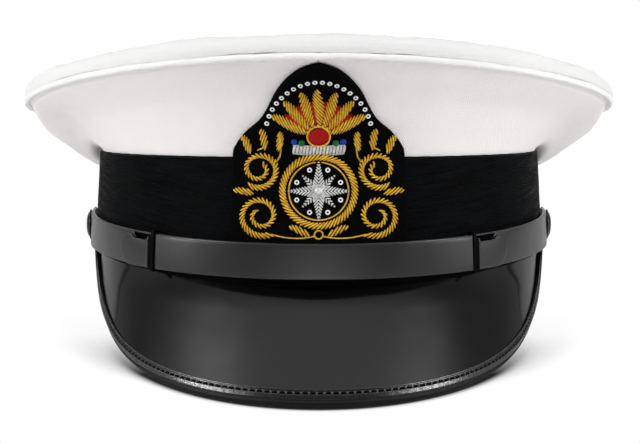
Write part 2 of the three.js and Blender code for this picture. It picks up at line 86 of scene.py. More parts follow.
# %% Rules of the cap's plan
BAND_HALF_WIDTH = 88.0
BAND_HALF_LENGTH = 100.0
BAND_FLARE = 2.5
BAND_WALL = 2.6
CROWN_HALF_WIDTH = 116.5
CROWN_HALF_LENGTH = 127.0
CROWN_SET_BACK = 4.0
CROWN_WALL = 1.6
CROWN_SEAM = 0.35
PIPING_TUCK = 0.9


def around(front, side, back):
    """A value that runs round the cap. A share below 1 reads it nearer the middle of a disc."""
    tip = (front - back) / 2
    mean = (front + back) / 2
    level = (mean + side) / 2
    twist = (mean - side) / 2
    return lambda turn, share=1.0: level + tip * share * np.cos(turn) + twist * share**2 * np.cos(2 * turn)


band_foot = around(0, 9, 6)
rim_rise = around(36.5, 17.5, 6)


def oval(turn, half_width, half_length, set_back, height):
    x = half_width * np.sin(turn)
    y = set_back - half_length * np.cos(turn)
    return np.stack(np.broadcast_arrays(x, y, height), -1).astype(float)


def band_half(height):
    spread = BAND_FLARE * (1 - height / BAND_TOP)
    return BAND_HALF_WIDTH + spread, BAND_HALF_LENGTH + spread


def band_point(turn, height, stand=0.0):
    """A point on the band's outer face, moved out by a stand-off."""
    wide, long = band_half(height)
    return oval(turn, wide + stand, long + stand, 0, height)


def rim_point(turn, out, up):
    """A point out and up from the line of the piping."""
    height = BAND_TOP + rim_rise(turn) + up
    return oval(turn, CROWN_HALF_WIDTH + out, CROWN_HALF_LENGTH + out, CROWN_SET_BACK, height)


rises = [round(float(rim_rise(turn)), 1) for turn in (0, np.pi / 2, np.pi)]
print("rim above the band at the front, the side and the back:", rises, "mm")

# %% [markdown]
# ## Smooth lines through short tables
# Most sections of the cap are short tables of points. A smooth line through them is what a maker draws
# with a bent batten. Blender has curves for that, but here the samples are wanted as arrays, so the
# weights of such a spline are worked out once. Ripples are a few waves whose phases come from a seed.


# %% Smooth lines and ripples
def spline_weights(count, samples):
    """Weights that turn a table of points into samples on a smooth line through them."""
    place = np.linspace(0, count - 1, samples)
    base = np.minimum(place.astype(int), count - 2)
    f = place - base
    pull = (
        (-1, -f / 2 + f**2 - f**3 / 2),
        (0, 1 - 2.5 * f**2 + 1.5 * f**3),
        (1, f / 2 + 2 * f**2 - 1.5 * f**3),
        (2, -(f**2) / 2 + f**3 / 2),
    )
    weights = np.zeros((samples, count))
    for shift, weight in pull:
        np.add.at(weights, (np.arange(samples), np.clip(base + shift, 0, count - 1)), weight)
    return weights


def smooth_line(table, samples):
    table = np.array(table, float)
    return spline_weights(len(table), samples) @ table


def eased(table, value):
    """Reads a two-column table, easing at each of its rows."""
    keys, values = np.array(table, float).T
    low = np.clip(np.searchsorted(keys, value, side="right") - 1, 0, len(keys) - 2)
    share = np.clip((value - keys[low]) / (keys[low + 1] - keys[low]), 0, 1)
    return values[low] + (values[low + 1] - values[low]) * share**2 * (3 - 2 * share)


def unit(vectors):
    return vectors / np.maximum(np.linalg.norm(vectors, axis=-1, keepdims=True), 1e-9)


def ripples(distance, waves, seed):
    """Soft uneven puckers along a line: a few waves of given length and height, with seeded phases."""
    draw = np.random.default_rng(seed)
    total = np.zeros_like(distance, dtype=float)
    for length, height in waves:
        total += height * np.sin(2 * np.pi * distance / length + draw.uniform(0, 2 * np.pi))
    return total


print("a line through three points, at five places:", smooth_line([(0, 0), (1, 2), (2, 0)], 5).tolist())

# %% [markdown]
# ## From points to a piece
# Every piece ends as a smooth mesh with sharp edges where it folds steeply. Its UV map holds true lengths in
# millimetres, because a weave has to run along its panel at its real size. The sign of its volume tells
# whether the faces point out, so nothing has to be turned by hand later.


# %% A helper that makes a piece
def build(name, points, faces, corner_uv, material, sharp=40):
    """A smooth mesh object in the frame from upright points, its faces turned outwards."""
    points = to_row(points)
    volume = 0.0
    for step in range(1, max(len(face) for face in faces) - 1):
        usable = [face for face in faces if len(face) > step + 1]
        corners = [points[[face[k] for face in usable]] for k in (0, step, step + 1)]
        volume += np.einsum("ij,ij->", corners[0], np.cross(corners[1], corners[2])) / 6
    if volume < 0:
        faces = [face[::-1] for face in faces]
        corner_uv = [uv[::-1] for uv in corner_uv]
    mesh = bpy.data.meshes.new(name)
    mesh.from_pydata(points.tolist(), [], faces)
    layer = mesh.uv_layers.new(name="UVMap")
    layer.data.foreach_set("uv", np.concatenate([np.asarray(uv, np.float32) for uv in corner_uv]).ravel())
    work = bmesh.new()
    work.from_mesh(mesh)
    bmesh.ops.remove_doubles(work, verts=work.verts, dist=1e-7)
    bmesh.ops.dissolve_degenerate(work, edges=work.edges, dist=1e-8)
    work.to_mesh(mesh)
    work.free()
    mesh.polygons.foreach_set("use_smooth", [True] * len(mesh.polygons))
    mesh.set_sharp_from_angle(angle=math.radians(sharp))
    mesh.materials.append(material)
    piece = bpy.data.objects.new(name, mesh)
    bpy.context.scene.collection.objects.link(piece)
    return piece


# %% [markdown]
# ## Walls and rolls
# Sewn panels are grids bent into shape. A wall of cloth is two such grids, outer and inner, joined round
# their edges, so that it is a closed solid. A Solidify modifier could thicken one grid as well, but then
# the inner face could not be shaped on its own. Straps and folds are rings of points along a path instead.


# %% Helpers for walls and rolls
def quads(rows, cols, wrap):
    """Corner places, as (row, column), of the quads of a grid. A wrapped grid has one more column."""
    i, j = np.mgrid[0 : rows - 1, 0 : cols if wrap else cols - 1]
    corners = [(i, j), (i, j + 1), (i + 1, j + 1), (i + 1, j)]
    return np.stack([np.stack(corner, -1) for corner in corners], -2).reshape(-1, 4, 2)


def wall(name, outer, inner, uv, material, wrap=False, pole=False, sharp=40):
    """A closed wall between two grids. A wrapped grid joins its last column to its first, and a pole
    is a first row that is a single point."""
    rows, cols = outer.shape[:2]
    count = rows * cols
    cells = quads(rows, cols, wrap)
    index = cells[..., 0] * cols + cells[..., 1] % cols
    uv_at = uv[cells[..., 0], cells[..., 1]]
    faces = [*index.tolist(), *(index[:, ::-1] + count).tolist()]
    corner_uv = [*uv_at, *uv_at[:, ::-1]]
    last_col = cols if wrap else cols - 1
    rims = [] if pole else [[(0, j + 1), (0, j)] for j in range(last_col)]
    rims += [[(rows - 1, j), (rows - 1, j + 1)] for j in range(last_col)]
    if not wrap:
        rims += [[(i, 0), (i + 1, 0)] for i in range(rows - 1)]
        rims += [[(i + 1, cols - 1), (i, cols - 1)] for i in range(rows - 1)]
    for (i, j), (k, m) in rims:
        a, b = i * cols + j % cols, k * cols + m % cols
        faces.append([a, b, b + count, a + count])
        corner_uv.append(np.array([uv[i, j], uv[k, m], uv[k, m], uv[i, j]]))
    points = np.concatenate([outer.reshape(-1, 3), inner.reshape(-1, 3)])
    return build(name, points, faces, corner_uv, material, sharp)


def roll(name, rings, uv, material, sharp=40):
    """A closed solid through rings of points, capped at both ends."""
    rows, cols = rings.shape[:2]
    cells = quads(rows, cols, True)
    faces = (cells[..., 0] * cols + cells[..., 1] % cols).tolist()
    corner_uv = list(uv[cells[..., 0], cells[..., 1]])
    faces.append(list(range(cols))[::-1])
    corner_uv.append(uv[0, :cols][::-1])
    faces.append([(rows - 1) * cols + j for j in range(cols)])
    corner_uv.append(uv[-1, :cols])
    return build(name, rings.reshape(-1, 3), faces, corner_uv, material, sharp)


print("faces of 3 by 4 points:", len(quads(3, 4, False)), "open and", len(quads(3, 4, True)), "wrapped")

# %% [markdown]
# ## Measuring grids and handing pieces over
# A wall needs to know which way is out, and a weave how far along its panel it is, so both are measured
# on the grid itself. Leather and cloth give where they rest: `pressed` lifts what would lie under the
# table just on to it. `fit` puts a finished piece on the cap's body and hides the solids it stands for.


# %% Measure, press and fit
def grid_normals(grid, wrap):
    """Unit normals of a grid that point away from the cap's middle."""
    down = np.gradient(grid, axis=0)
    across = np.roll(grid, -1, 1) - np.roll(grid, 1, 1) if wrap else np.gradient(grid, axis=1)
    normals = unit(np.cross(across, down))
    outwards = np.sum(normals * (grid - np.array([0, 0, BAND_TOP])), -1).mean()
    return normals * np.sign(outwards)


def arc_lengths(grid, axis):
    """How far each point of a grid is along its row or column, starting at 0."""
    steps = np.linalg.norm(np.diff(grid, axis=axis), axis=-1)
    start = np.zeros_like(np.take(steps, [0], axis))
    return np.concatenate([start, np.cumsum(steps, axis)], axis)


def pressed(points):
    """Upright points, with those that would lie under the table pressed flat on it."""
    placed = to_row(points)
    placed[..., 2] = np.maximum(placed[..., 2], 0)
    return (placed - PLACE) @ LEAN_TURN / MM


def fit(piece, slot, *nodes):
    """Every piece rides on the cap's one body; the solids it stands for are hidden and their names printed.
    """
    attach(piece, "root")
    if nodes:
        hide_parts(*nodes)
    triangles = sum(len(face.vertices) - 2 for face in piece.data.polygons)
    print(piece.name, "for", nodes or "detail", "triangles", triangles)
    return piece


print("front foot of the band in the frame", np.round(to_row(band_point(0.0, 0.0)), 4))

# %% [markdown]
# ## Materials from nodes
# A material here is a Principled shader with a few nodes in front of it. Short helpers keep the node
# work readable: `shader` makes the material, `add` puts in a node, and `calc` is one Math node. `grow` does
# the same in any tree, so it also serves the trees of Geometry Nodes further on.


# %% Helpers for materials
def shader(name, colour, roughness, more=None):
    """A new material with its plain values set on the shader's own sockets."""
    material = bpy.data.materials.new(name)
    material.use_nodes = True
    surface = material.node_tree.nodes["Principled BSDF"]
    surface.inputs["Base Color"].default_value = (*colour, 1)
    surface.inputs["Roughness"].default_value = roughness
    for socket, value in (more or {}).items():
        surface.inputs[socket].default_value = value
    return material


def grow(tree, kind, inputs=None, **settings):
    """Puts a node in a tree. Its inputs are numbers, words or other nodes' outputs."""
    node = tree.nodes.new(kind)
    for key, value in settings.items():
        setattr(node, key, value)
    for key, value in (inputs or {}).items():
        if isinstance(value, bpy.types.NodeSocket):
            tree.links.new(value, node.inputs[key])
        else:
            node.inputs[key].default_value = value
    return node


def add(material, kind, inputs=None, **settings):
    """Puts a node in the tree of a material, and likewise of a lamp or the world."""
    return grow(material.node_tree, kind, inputs, **settings)


def calc_in(tree, operation, first, second=0.0):
    return grow(tree, "ShaderNodeMath", {0: first, 1: second}, operation=operation).outputs[0]


def calc(material, operation, first, second=0.0):
    return calc_in(material.node_tree, operation, first, second)


# %% [markdown]
# ## Places, noise and bumps
# A finish needs a place to be read at: a point of the object, or a length along its cloth. Noise there gives
# dirt, wear and grain, a ramp sets how strong it is, and bumps bend the light where real relief would cost
# too many faces. Nothing here is a picture, so the finish is as sharp close by as from afar.


# %% Helpers for finishes
def uv_lengths(material):
    """The two lengths of the UV map, in millimetres."""
    uv = add(material, "ShaderNodeUVMap", uv_map="UVMap")
    parts = add(material, "ShaderNodeSeparateXYZ", {0: uv.outputs[0]})
    return uv.outputs[0], parts.outputs[0], parts.outputs[1]


def object_place(material):
    return add(material, "ShaderNodeTexCoord").outputs["Object"]


def noise(material, place, scale, detail=3.0, stretch=(1, 1, 1)):
    """Noise from 0 to 1 over a place, with features about 1/scale long and stretched where asked."""
    mapped = add(material, "ShaderNodeMapping", {"Vector": place, "Scale": stretch})
    settings = {"Vector": mapped.outputs[0], "Scale": scale, "Detail": detail}
    return add(material, "ShaderNodeTexNoise", settings).outputs[0]


def ramp(material, value, low, high, from_low=0.0, from_high=1.0):
    """Carries a value from one range to another, and holds it at the ends."""
    settings = {"Value": value, "From Min": from_low, "From Max": from_high, "To Min": low, "To Max": high}
    return add(material, "ShaderNodeMapRange", settings).outputs[0]


def tint(material, share, dark, light):
    """A colour between two, by a share from 0 to 1."""
    mix = add(material, "ShaderNodeMix", {"Factor": share}, data_type="RGBA")
    mix.inputs["A"].default_value = (*dark, 1)
    mix.inputs["B"].default_value = (*light, 1)
    return next(out for out in mix.outputs if out.type == "RGBA")


def feed(material, socket, value):
    surface = material.node_tree.nodes["Principled BSDF"]
    material.node_tree.links.new(value, surface.inputs[socket])


def raise_by(material, *layers):
    """Bump layers of (height, distance in metres), each laid over the one before."""
    normal = None
    for height, distance in layers:
        inputs = {"Height": height, "Distance": distance, "Strength": 1.0}
        if normal is not None:
            inputs["Normal"] = normal
        normal = add(material, "ShaderNodeBump", inputs).outputs[0]
    feed(material, "Normal", normal)


# %% [markdown]
# ## White twill
# The crown is cotton twill: fine ridges that climb across the cloth, about 0.8 mm apart. Each ridge is a
# row of short floats, so the wave along the diagonal is broken by a finer one across it. The ridges lean
# one way on the top panel and the other way on the sides, as the panels were cut. Modelled threads would be
# millions of faces, so the waves are only bump and painted shade: the cloth is darker between the ridges
# and lighter on them.


# %% Make the twill
TWILL_PITCH = 0.8
FLOAT_PITCH = 1.1
RIDGE_SHARE = 0.38
FLOAT_SHARE = 0.12
WEAVE_PAINTED_SHADE = 0.7
CLOUD_TONE = 0.5


def twill_cloth(name, climb, dark, light):
    """White twill whose ridges climb to the right for 1 and to the left for -1."""
    soft = {"Sheen Weight": 0.08, "Sheen Roughness": 0.5, "Specular IOR Level": 0.2}
    cloth = shader(name, light, 0.9, soft)
    uv, along, up = uv_lengths(cloth)
    slip = ramp(cloth, noise(cloth, uv, 0.35, 2), -0.35, 0.35)
    straight = calc(cloth, "SUBTRACT", along, calc(cloth, "MULTIPLY", up, climb))
    diagonal = calc(cloth, "ADD", straight, slip)
    counter = calc(cloth, "ADD", calc(cloth, "MULTIPLY", along, climb), up)
    ridge = calc(cloth, "SINE", calc(cloth, "MULTIPLY", diagonal, 2 * math.pi / TWILL_PITCH / math.sqrt(2)))
    floats = calc(cloth, "SINE", calc(cloth, "MULTIPLY", counter, 2 * math.pi / FLOAT_PITCH))
    ridge = calc(cloth, "MULTIPLY", ridge, RIDGE_SHARE)
    floats = calc(cloth, "MULTIPLY", floats, FLOAT_SHARE)
    height = calc(cloth, "ADD", calc(cloth, "ADD", ridge, floats), 0.5)
    cloudy = calc(cloth, "MULTIPLY", ramp(cloth, noise(cloth, uv, 0.04, 3), -0.5, 0.5), CLOUD_TONE)
    # Painted shade: the cloth is darker between the twill ridges and lighter on them. The cloudy part is a
    # random tone.
    shade = calc(cloth, "ADD", calc(cloth, "MULTIPLY", height, WEAVE_PAINTED_SHADE), cloudy)
    feed(cloth, "Base Color", tint(cloth, shade, dark, light))
    raise_by(cloth, (noise(cloth, uv, 0.12, 3), 0.0003), (height, 0.0001))
    return cloth


# The top panel's twill is painted darker than the sides': painted shade that keeps its brightly lit top from
# going white.
top_twill_painted_darker = twill_cloth("white twill, top panel, painted darker", 1, (0.76, 0.756, 0.752), (0.84, 0.836, 0.832))
side_twill = twill_cloth("white twill, side panels", -1, (0.84, 0.81, 0.805), (0.93, 0.9, 0.895))
print("twill ridges", TWILL_PITCH, "mm apart")

# %% [markdown]
# ## The top panel
# The top of the crown is one oval panel over a springy hoop, so its edge rolls over above the piping and
# its middle hangs a little. A cloth simulation could find that shape, but a table is quick and the same on
# every run: points out and up from the piping line, smoothed and carried round the rim. Soft ripples in the
# roll are what a sewn edge shows.

# %% Sew the top panel
TOP_DIP = 2.0
TOP_ROLL = [(-8, 8.4), (-2.6, 7.9), (0.5, 6.4), (1.65, 4.2), (1.75, 2.7), (1.4, 1.7), (0.4, 1.2), (-0.6, 0.9)]
TOP_TURNS = 288
TOP_RINGS = 40
ROLL_RINGS = 30
# Waves as (length, height), in millimetres.
HANG_WAVES = [(61, 0.22), (43, 0.16), (29, 0.08)]
PUCKER_WAVES = [(17, 0.1), (11.3, 0.09), (7.1, 0.05)]
HANG_SHARE = 0.8
HANG_REACH = 40.0
PUCKER_RINGS = 4
PUCKER_REACH = 14.0

turn = np.linspace(0, 2 * np.pi, TOP_TURNS, endpoint=False)
share = np.linspace(0, 1, TOP_RINGS, endpoint=False)[:, None]
roll_line = smooth_line(TOP_ROLL, ROLL_RINGS)
edge_out, edge_up = TOP_ROLL[0]
disc_height = BAND_TOP + rim_rise(turn, share) + edge_up - TOP_DIP * (1 - share**2)
disc_wide = (CROWN_HALF_WIDTH + edge_out) * share
disc_long = (CROWN_HALF_LENGTH + edge_out) * share
disc = oval(turn, disc_wide, disc_long, CROWN_SET_BACK, disc_height)
edge = np.stack([rim_point(turn, out, up) for out, up in roll_line])
top_skin = np.concatenate([disc, edge])
top_reach = arc_lengths(top_skin, 0)
top_normals = grid_normals(top_skin, True)
top_normals[0] = top_normals[1].mean(0)
round_rim = turn * (CROWN_HALF_WIDTH + CROWN_HALF_LENGTH) / 2
sway = ripples(top_skin[..., 0], HANG_WAVES, 3) + ripples(top_skin[..., 1], HANG_WAVES, 4)
hang = sway * np.clip(top_reach / HANG_REACH, 0, 1) * HANG_SHARE
roll_share = np.clip((top_reach - top_reach[TOP_RINGS - PUCKER_RINGS]) / PUCKER_REACH, 0, 1)
pucker = ripples(round_rim, PUCKER_WAVES, 5) * roll_share
top_outer = top_skin + top_normals * (hang + pucker)[..., None]
closed_turn = np.append(turn, 2 * np.pi)
closed_reach = np.concatenate([top_reach, top_reach[:, :1]], 1)
top_uv = np.stack([closed_reach * np.sin(closed_turn), -closed_reach * np.cos(closed_turn)], -1)
top_inner = top_outer - top_normals * CROWN_WALL
top_panel = wall("crown_top_panel", top_outer, top_inner, top_uv, top_twill_painted_darker, wrap=True, pole=True, sharp=70)
fit(top_panel, "crown_cloth", "crown_top")

# %% [markdown]
# ## The side panels
# Two panels run from the band up and out to the piping, joined at the front and back. In section each is
# a short table in shares of its overhang, its rise and its sag: taut in front, slack behind the temples.
# Beside the joins and under the piping the cloth turns in, and those small valleys are the seams one sees.

# %% The section and the plan of a side panel
SIDE_SECTION = [
    (0, 0, 0), (0.05, 0.1, 0), (0.2, 0.36, 0.85), (0.43, 0.63, 1), (0.76, 0.86, 0.84),
    (0.93, 0.96, 0.6), (1, 1, 0),
]
SIDE_ROWS = 44
side_line = smooth_line(SIDE_SECTION, SIDE_ROWS)


def side_plan(turn, share, height):
    """From the middle of the band's wall out to the line of the piping."""
    low = band_point(turn, np.full_like(turn, BAND_TOP), -BAND_WALL / 2)
    tuck = -PIPING_TUCK
    high = oval(turn, CROWN_HALF_WIDTH + tuck, CROWN_HALF_LENGTH + tuck, CROWN_SET_BACK, 0 * turn)
    plan = low + (high - low) * share[..., None]
    plan[..., 2] = height
    return plan


def side_rise(turn):
    return rim_rise(turn) - PIPING_TUCK - CROWN_SEAM


print("rise of the side panels at the front", round(float(side_rise(np.float64(0))), 1), "mm")

# %% Sew the side panels
SIDE_SAG = [(0, 0), (78, 1), (112, 14), (150, 13), (180, 11)]
SIDE_TUCK = [(-0.4, -0.6), (0, -0.4)]
SEAM_GAP = 0.06
SEAM_TURN_IN = 0.5
SEAM_WIDTH = 1.3
RIM_TURN_IN = 0.6
RIM_WIDTH = 1.5
# Columns close to a seam, in millimetres from it. The others are spread evenly.
SEAM_COLUMNS = [0, 0.25, 0.5, 0.8, 1.1, 1.6, 2.4]
PLAIN_FROM = 3.2
PLAIN_COLUMNS = 180
DRAPE_WAVES = [(47, 0.55), (31, 0.35), (19, 0.15)]
DRAPE_SAG = 12.0
SEAM_WAVES = [(13, 0.07), (8.3, 0.05)]


def side_panel(side, sign):
    near = np.array(SEAM_COLUMNS) / CROWN_HALF_LENGTH
    gap = SEAM_GAP / CROWN_HALF_LENGTH
    begin = PLAIN_FROM / CROWN_HALF_LENGTH
    middle = np.linspace(begin, np.pi - begin, PLAIN_COLUMNS)
    turn = np.concatenate([gap + near, middle, np.pi - gap - near[::-1]])
    sag = eased(SIDE_SAG, np.degrees(turn))
    out, up, hang = (column[:, None] for column in side_line.T)
    height = BAND_TOP + CROWN_SEAM + up * side_rise(turn) - hang * sag
    skin = side_plan(np.broadcast_to(sign * turn, height.shape), np.broadcast_to(out, height.shape), height)
    skin = np.concatenate([skin, [rim_point(sign * turn, *tuck) for tuck in SIDE_TUCK]])
    normals = grid_normals(skin, False)
    girth = turn * (CROWN_HALF_WIDTH + CROWN_HALF_LENGTH) / 2
    loose = np.sin(np.pi * np.linspace(0, 1, len(skin)))[:, None]
    drape = ripples(girth, DRAPE_WAVES, 11) * np.clip(sag / DRAPE_SAG, 0.1, 1)
    seam_pucker = ripples(girth, SEAM_WAVES, 12) * (1 - loose) ** 2
    edge = np.minimum(turn - gap, np.pi - gap - turn) * CROWN_HALF_LENGTH
    turn_in = SEAM_TURN_IN * np.clip(1 - edge / SEAM_WIDTH, 0, 1) ** 2
    below_rim = arc_lengths(skin, 0)
    below_rim = np.maximum(below_rim[SIDE_ROWS - 1] - below_rim, 0)
    turn_in = turn_in + RIM_TURN_IN * np.clip(1 - below_rim / RIM_WIDTH, 0, 1) ** 2
    outer = skin + normals * (drape * loose + seam_pucker - turn_in)[..., None]
    uv = np.stack([np.broadcast_to(sign * girth, skin.shape[:2]), arc_lengths(skin, 0)], -1)
    panel = wall(f"crown_side_panel_{side}", outer, outer - normals * CROWN_WALL, uv, side_twill, sharp=70)
    return fit(panel, "crown_cloth", f"crown_side_{side}")


for side, sign in (("left", -1), ("right", 1)):
    side_panel(side, sign)

# %% [markdown]
# ## Geometry Nodes for cords
# Geometry Nodes make whatever repeats or follows a path. A tree is built here like a material: named
# inputs at one end, nodes between, and real geometry with its material at the other end. The inputs of the
# modifier are set by identifier before the object is first evaluated, and the result is then stored as a
# plain mesh, so that nothing depends on the modifier later.


# %% Helpers for trees
def new_tree(name, sizes):
    """An empty tree with a geometry input, float or material inputs and a geometry output."""
    tree = bpy.data.node_groups.new(name, "GeometryNodeTree")
    tree.interface.new_socket("Geometry", in_out="INPUT", socket_type="NodeSocketGeometry")
    for label in sizes:
        kind = "NodeSocketMaterial" if label == "Material" else "NodeSocketFloat"
        tree.interface.new_socket(label, in_out="INPUT", socket_type=kind)
    tree.interface.new_socket("Geometry", in_out="OUTPUT", socket_type="NodeSocketGeometry")
    start = tree.nodes.new("NodeGroupInput")
    return tree, start.outputs


def close_tree(tree, geometry, material):
    """Every tree ends in real geometry with its material."""
    real = grow(tree, "GeometryNodeRealizeInstances", {0: geometry})
    smooth = grow(tree, "GeometryNodeSetShadeSmooth", {0: real.outputs[0]})
    painted = grow(tree, "GeometryNodeSetMaterial", {0: smooth.outputs[0], "Material": material})
    end = tree.nodes.new("NodeGroupOutput")
    tree.links.new(painted.outputs[0], end.inputs[0])


def marked_with(tree, geometry, name, value):
    """Stores a number under a name on every point, where a material can read it."""
    inputs = {"Geometry": geometry, "Name": name, "Value": value}
    return grow(tree, "GeometryNodeStoreNamedAttribute", inputs, data_type="FLOAT").outputs[0]


def stored(tree, name, kind):
    """Reads what is stored under a name on every point."""
    return grow(tree, "GeometryNodeInputNamedAttribute", {"Name": name}, data_type=kind).outputs[0]


def grown(name, mesh, tree, values):
    """Runs a tree on a mesh and keeps the result as a plain mesh object."""
    piece = bpy.data.objects.new(name, mesh)
    bpy.context.scene.collection.objects.link(piece)
    modifier = piece.modifiers.new("grow", "NODES")
    modifier.node_group = tree
    for item in tree.interface.items_tree:
        if item.in_out == "INPUT" and item.name in values:
            modifier[item.identifier] = values[item.name]
    depsgraph = bpy.context.evaluated_depsgraph_get()
    evaluated = piece.evaluated_get(depsgraph)
    result = bpy.data.meshes.new_from_object(evaluated, preserve_all_data_layers=True, depsgraph=depsgraph)
    piece.modifiers.remove(modifier)
    piece.data = result
    result.name = name
    result.materials.clear()
    result.materials.append(values["Material"])
    result.polygons.foreach_set("material_index", [0] * len(result.polygons))
    return piece


# %% [markdown]
# ## Cords
# Piping, the ribs of the braid, couched wires and the strap's folded edges all are round cords along a
# path. One tree serves them: it takes bare edges, turns them into curves and sweeps a circle along them. A
# little noise in the radius keeps a cord from looking drawn with a compass.

# %% A tree that sweeps cords
cord_tree, cord = new_tree("cords along edges", ["Radius", "Sides", "Unevenness", "Noise scale", "Material"])
curves = grow(cord_tree, "GeometryNodeMeshToCurve", {0: cord["Geometry"]})
place = grow(cord_tree, "GeometryNodeInputPosition")
bumpy = grow(cord_tree, "ShaderNodeTexNoise", {"Vector": place.outputs[0], "Scale": cord["Noise scale"]})
from_mean = calc_in(cord_tree, "SUBTRACT", bumpy.outputs[0], 0.5)
swing = calc_in(cord_tree, "MULTIPLY", from_mean, cord["Unevenness"])
thickness = calc_in(cord_tree, "MULTIPLY", calc_in(cord_tree, "ADD", swing, 1.0), cord["Radius"])
run = grow(cord_tree, "GeometryNodeSplineParameter")
paths = marked_with(cord_tree, curves.outputs[0], "along", run.outputs["Length"])
paths = marked_with(cord_tree, paths, "half", 1.0)
profile = grow(cord_tree, "GeometryNodeCurvePrimitiveCircle", {"Resolution": cord["Sides"], "Radius": 1.0})
swept = grow(
    cord_tree,
    "GeometryNodeCurveToMesh",
    {"Curve": paths, "Profile Curve": profile.outputs[0], "Scale": thickness, "Fill Caps": True},
)
close_tree(cord_tree, swept.outputs[0], cord["Material"])


def edge_mesh(name, lines, closed):
    """A mesh of bare edges, one chain for each line of frame points."""
    points = np.concatenate(lines)
    edges = []
    start = 0
    for line in lines:
        chain = [(start + k, start + k + 1) for k in range(len(line) - 1)]
        edges += chain + ([(start + len(line) - 1, start)] if closed else [])
        start += len(line)
    mesh = bpy.data.meshes.new(name)
    mesh.from_pydata(points.tolist(), edges, [])
    return mesh


def cords(name, lines, closed, radius, sides, unevenness, noise_scale, material):
    """Sweeps one cord along each line of frame points."""
    values = {
        "Radius": radius * MM,
        "Sides": float(sides),
        "Unevenness": unevenness,
        "Noise scale": float(noise_scale),
        "Material": material,
    }
    return grown(name, edge_mesh(name + " lines", lines, closed), cord_tree, values)


print("cord tree with", len(cord_tree.nodes), "nodes")

# %% [markdown]
# ## Piping
# A cord wrapped in a bias strip of the same white cloth is caught in the rim seam. It is rounder and
# catches more light than the panels beside it, and a thin shadow lies under it. The wrap's plain weave is
# too fine to draw thread by thread, so fine noise on the place itself stands for it.

# %% Lay the piping
PIPING_RADIUS = 1.2
PIPING_OUT = 0.8
PIPING_UP = 0.4
PIPING_POINTS = 420
PIPING_WAVES = [(23, 0.06), (9.7, 0.05)]

piping_cloth = shader("white piping cloth", (0.9, 0.895, 0.89), 0.85, {"Sheen Weight": 0.15})
spot = object_place(piping_cloth)
worn = noise(piping_cloth, spot, 120, 3)
feed(piping_cloth, "Base Color", tint(piping_cloth, worn, (0.81, 0.805, 0.8), (0.9, 0.895, 0.89)))
raise_by(piping_cloth, (noise(piping_cloth, spot, 900, 2), 0.0001))

rim_turn = np.linspace(0, 2 * np.pi, PIPING_POINTS, endpoint=False)
rim_line = rim_point(rim_turn, PIPING_OUT, PIPING_UP)
rim_line[:, 2] += ripples(rim_turn * CROWN_HALF_WIDTH, PIPING_WAVES, 21)
piping = cords(
    "crown_piping_cord", [to_row(rim_line)], closed=True, radius=PIPING_RADIUS, sides=14,
    unevenness=0.12, noise_scale=90, material=piping_cloth,
)
fit(piping, "piping_cloth", "crown_piping")

# %% [markdown]
# ## The band
# The band is faced with black ribbed braid. A plain wall carries it, with its edges rounded over and its
# foot pressed flat where the cap rests. Long streaks in colour and gloss run round it, as threads that take
# the dye unevenly show them.

# %% Weave the braid and build the band
BAND_TURNS = 240
BAND_SUNK = 0.15
INNER_ROUNDING = 0.6
# Rows of the wall as (height, rounding): the foot and the top edge are drawn in by the rounding.
BAND_ROWS = [
    (0, 0.9), (0.3, 0.4), (0.9, 0), (3, 0), (12, 0), (25, 0), (38, 0), (44, 0), (46.1, 0),
    (46.7, 0.35), (47, 0.8),
]

braid = shader("black ribbed braid", (0.006, 0.006, 0.007), 0.62, {"Specular IOR Level": 0.03})
spot = object_place(braid)
streak = ramp(braid, noise(braid, spot, 60, 4, (1, 1, 14)), 0, 1, 0.36, 0.66)
feed(braid, "Base Color", tint(braid, streak, (0.0001, 0.0001, 0.0002), (0.0036, 0.0043, 0.0053)))
feed(braid, "Roughness", ramp(braid, streak, 0.4, 0.7))
raise_by(braid, (noise(braid, spot, 1500, 2, (1, 1, 2)), 0.00012))

band_turn = np.linspace(0, 2 * np.pi, BAND_TURNS, endpoint=False)
row_height, rounding = np.array(BAND_ROWS).T[..., None]
foot = band_foot(band_turn)
levels = foot + (BAND_TOP - foot) * (row_height / BAND_TOP)
level_turn = np.broadcast_to(band_turn, levels.shape)
band_outer = pressed(band_point(level_turn, levels, -rounding - BAND_SUNK))
band_inner = pressed(band_point(level_turn, levels, rounding * INNER_ROUNDING - BAND_WALL))
round_band = np.append(band_turn, 2 * np.pi) * BAND_HALF_LENGTH
band_uv = np.stack(np.broadcast_arrays(round_band, row_height), -1)
band = wall("cap_band_wall", band_outer, band_inner, band_uv, braid, wrap=True)
fit(band, "band_braid", "cap_band")

# %% [markdown]
# ## The ribs
# The ribs of the braid are real cords on that wall, one above the other. A bump could stand for them, but
# then the band's outline would stay smooth. They swell and thin along their run, which gives the broken
# glints that run round the band.

# %% Lay the ribs
RIB_COUNT = 56
RIB_RADIUS = 0.42
RIB_SUNK = 0.2
RIB_FIRST = 0.75
RIB_SPARE = 0.4
RIB_CLEARANCE = 1.4
RIB_WAVES = [(59, 0.05), (23, 0.035)]
RIB_SEED = 100

rib_lines = []
for rib in range(RIB_COUNT):
    rib_share = (rib + RIB_FIRST) / (RIB_COUNT + RIB_SPARE)
    wander = ripples(band_turn * BAND_HALF_LENGTH, RIB_WAVES, RIB_SEED + rib)
    height = foot + (BAND_TOP - foot) * rib_share + wander
    rib_line = to_row(band_point(band_turn, height, -RIB_SUNK - RIB_RADIUS / 2))
    rib_line[:, 2] = np.maximum(rib_line[:, 2], RIB_CLEARANCE * RIB_RADIUS * MM)
    rib_lines.append(rib_line)
ribs = cords(
    "cap_band_ribs", rib_lines, closed=True, radius=RIB_RADIUS, sides=6,
    unevenness=0.8, noise_scale=110, material=braid,
)
fit(ribs, "band_braid")

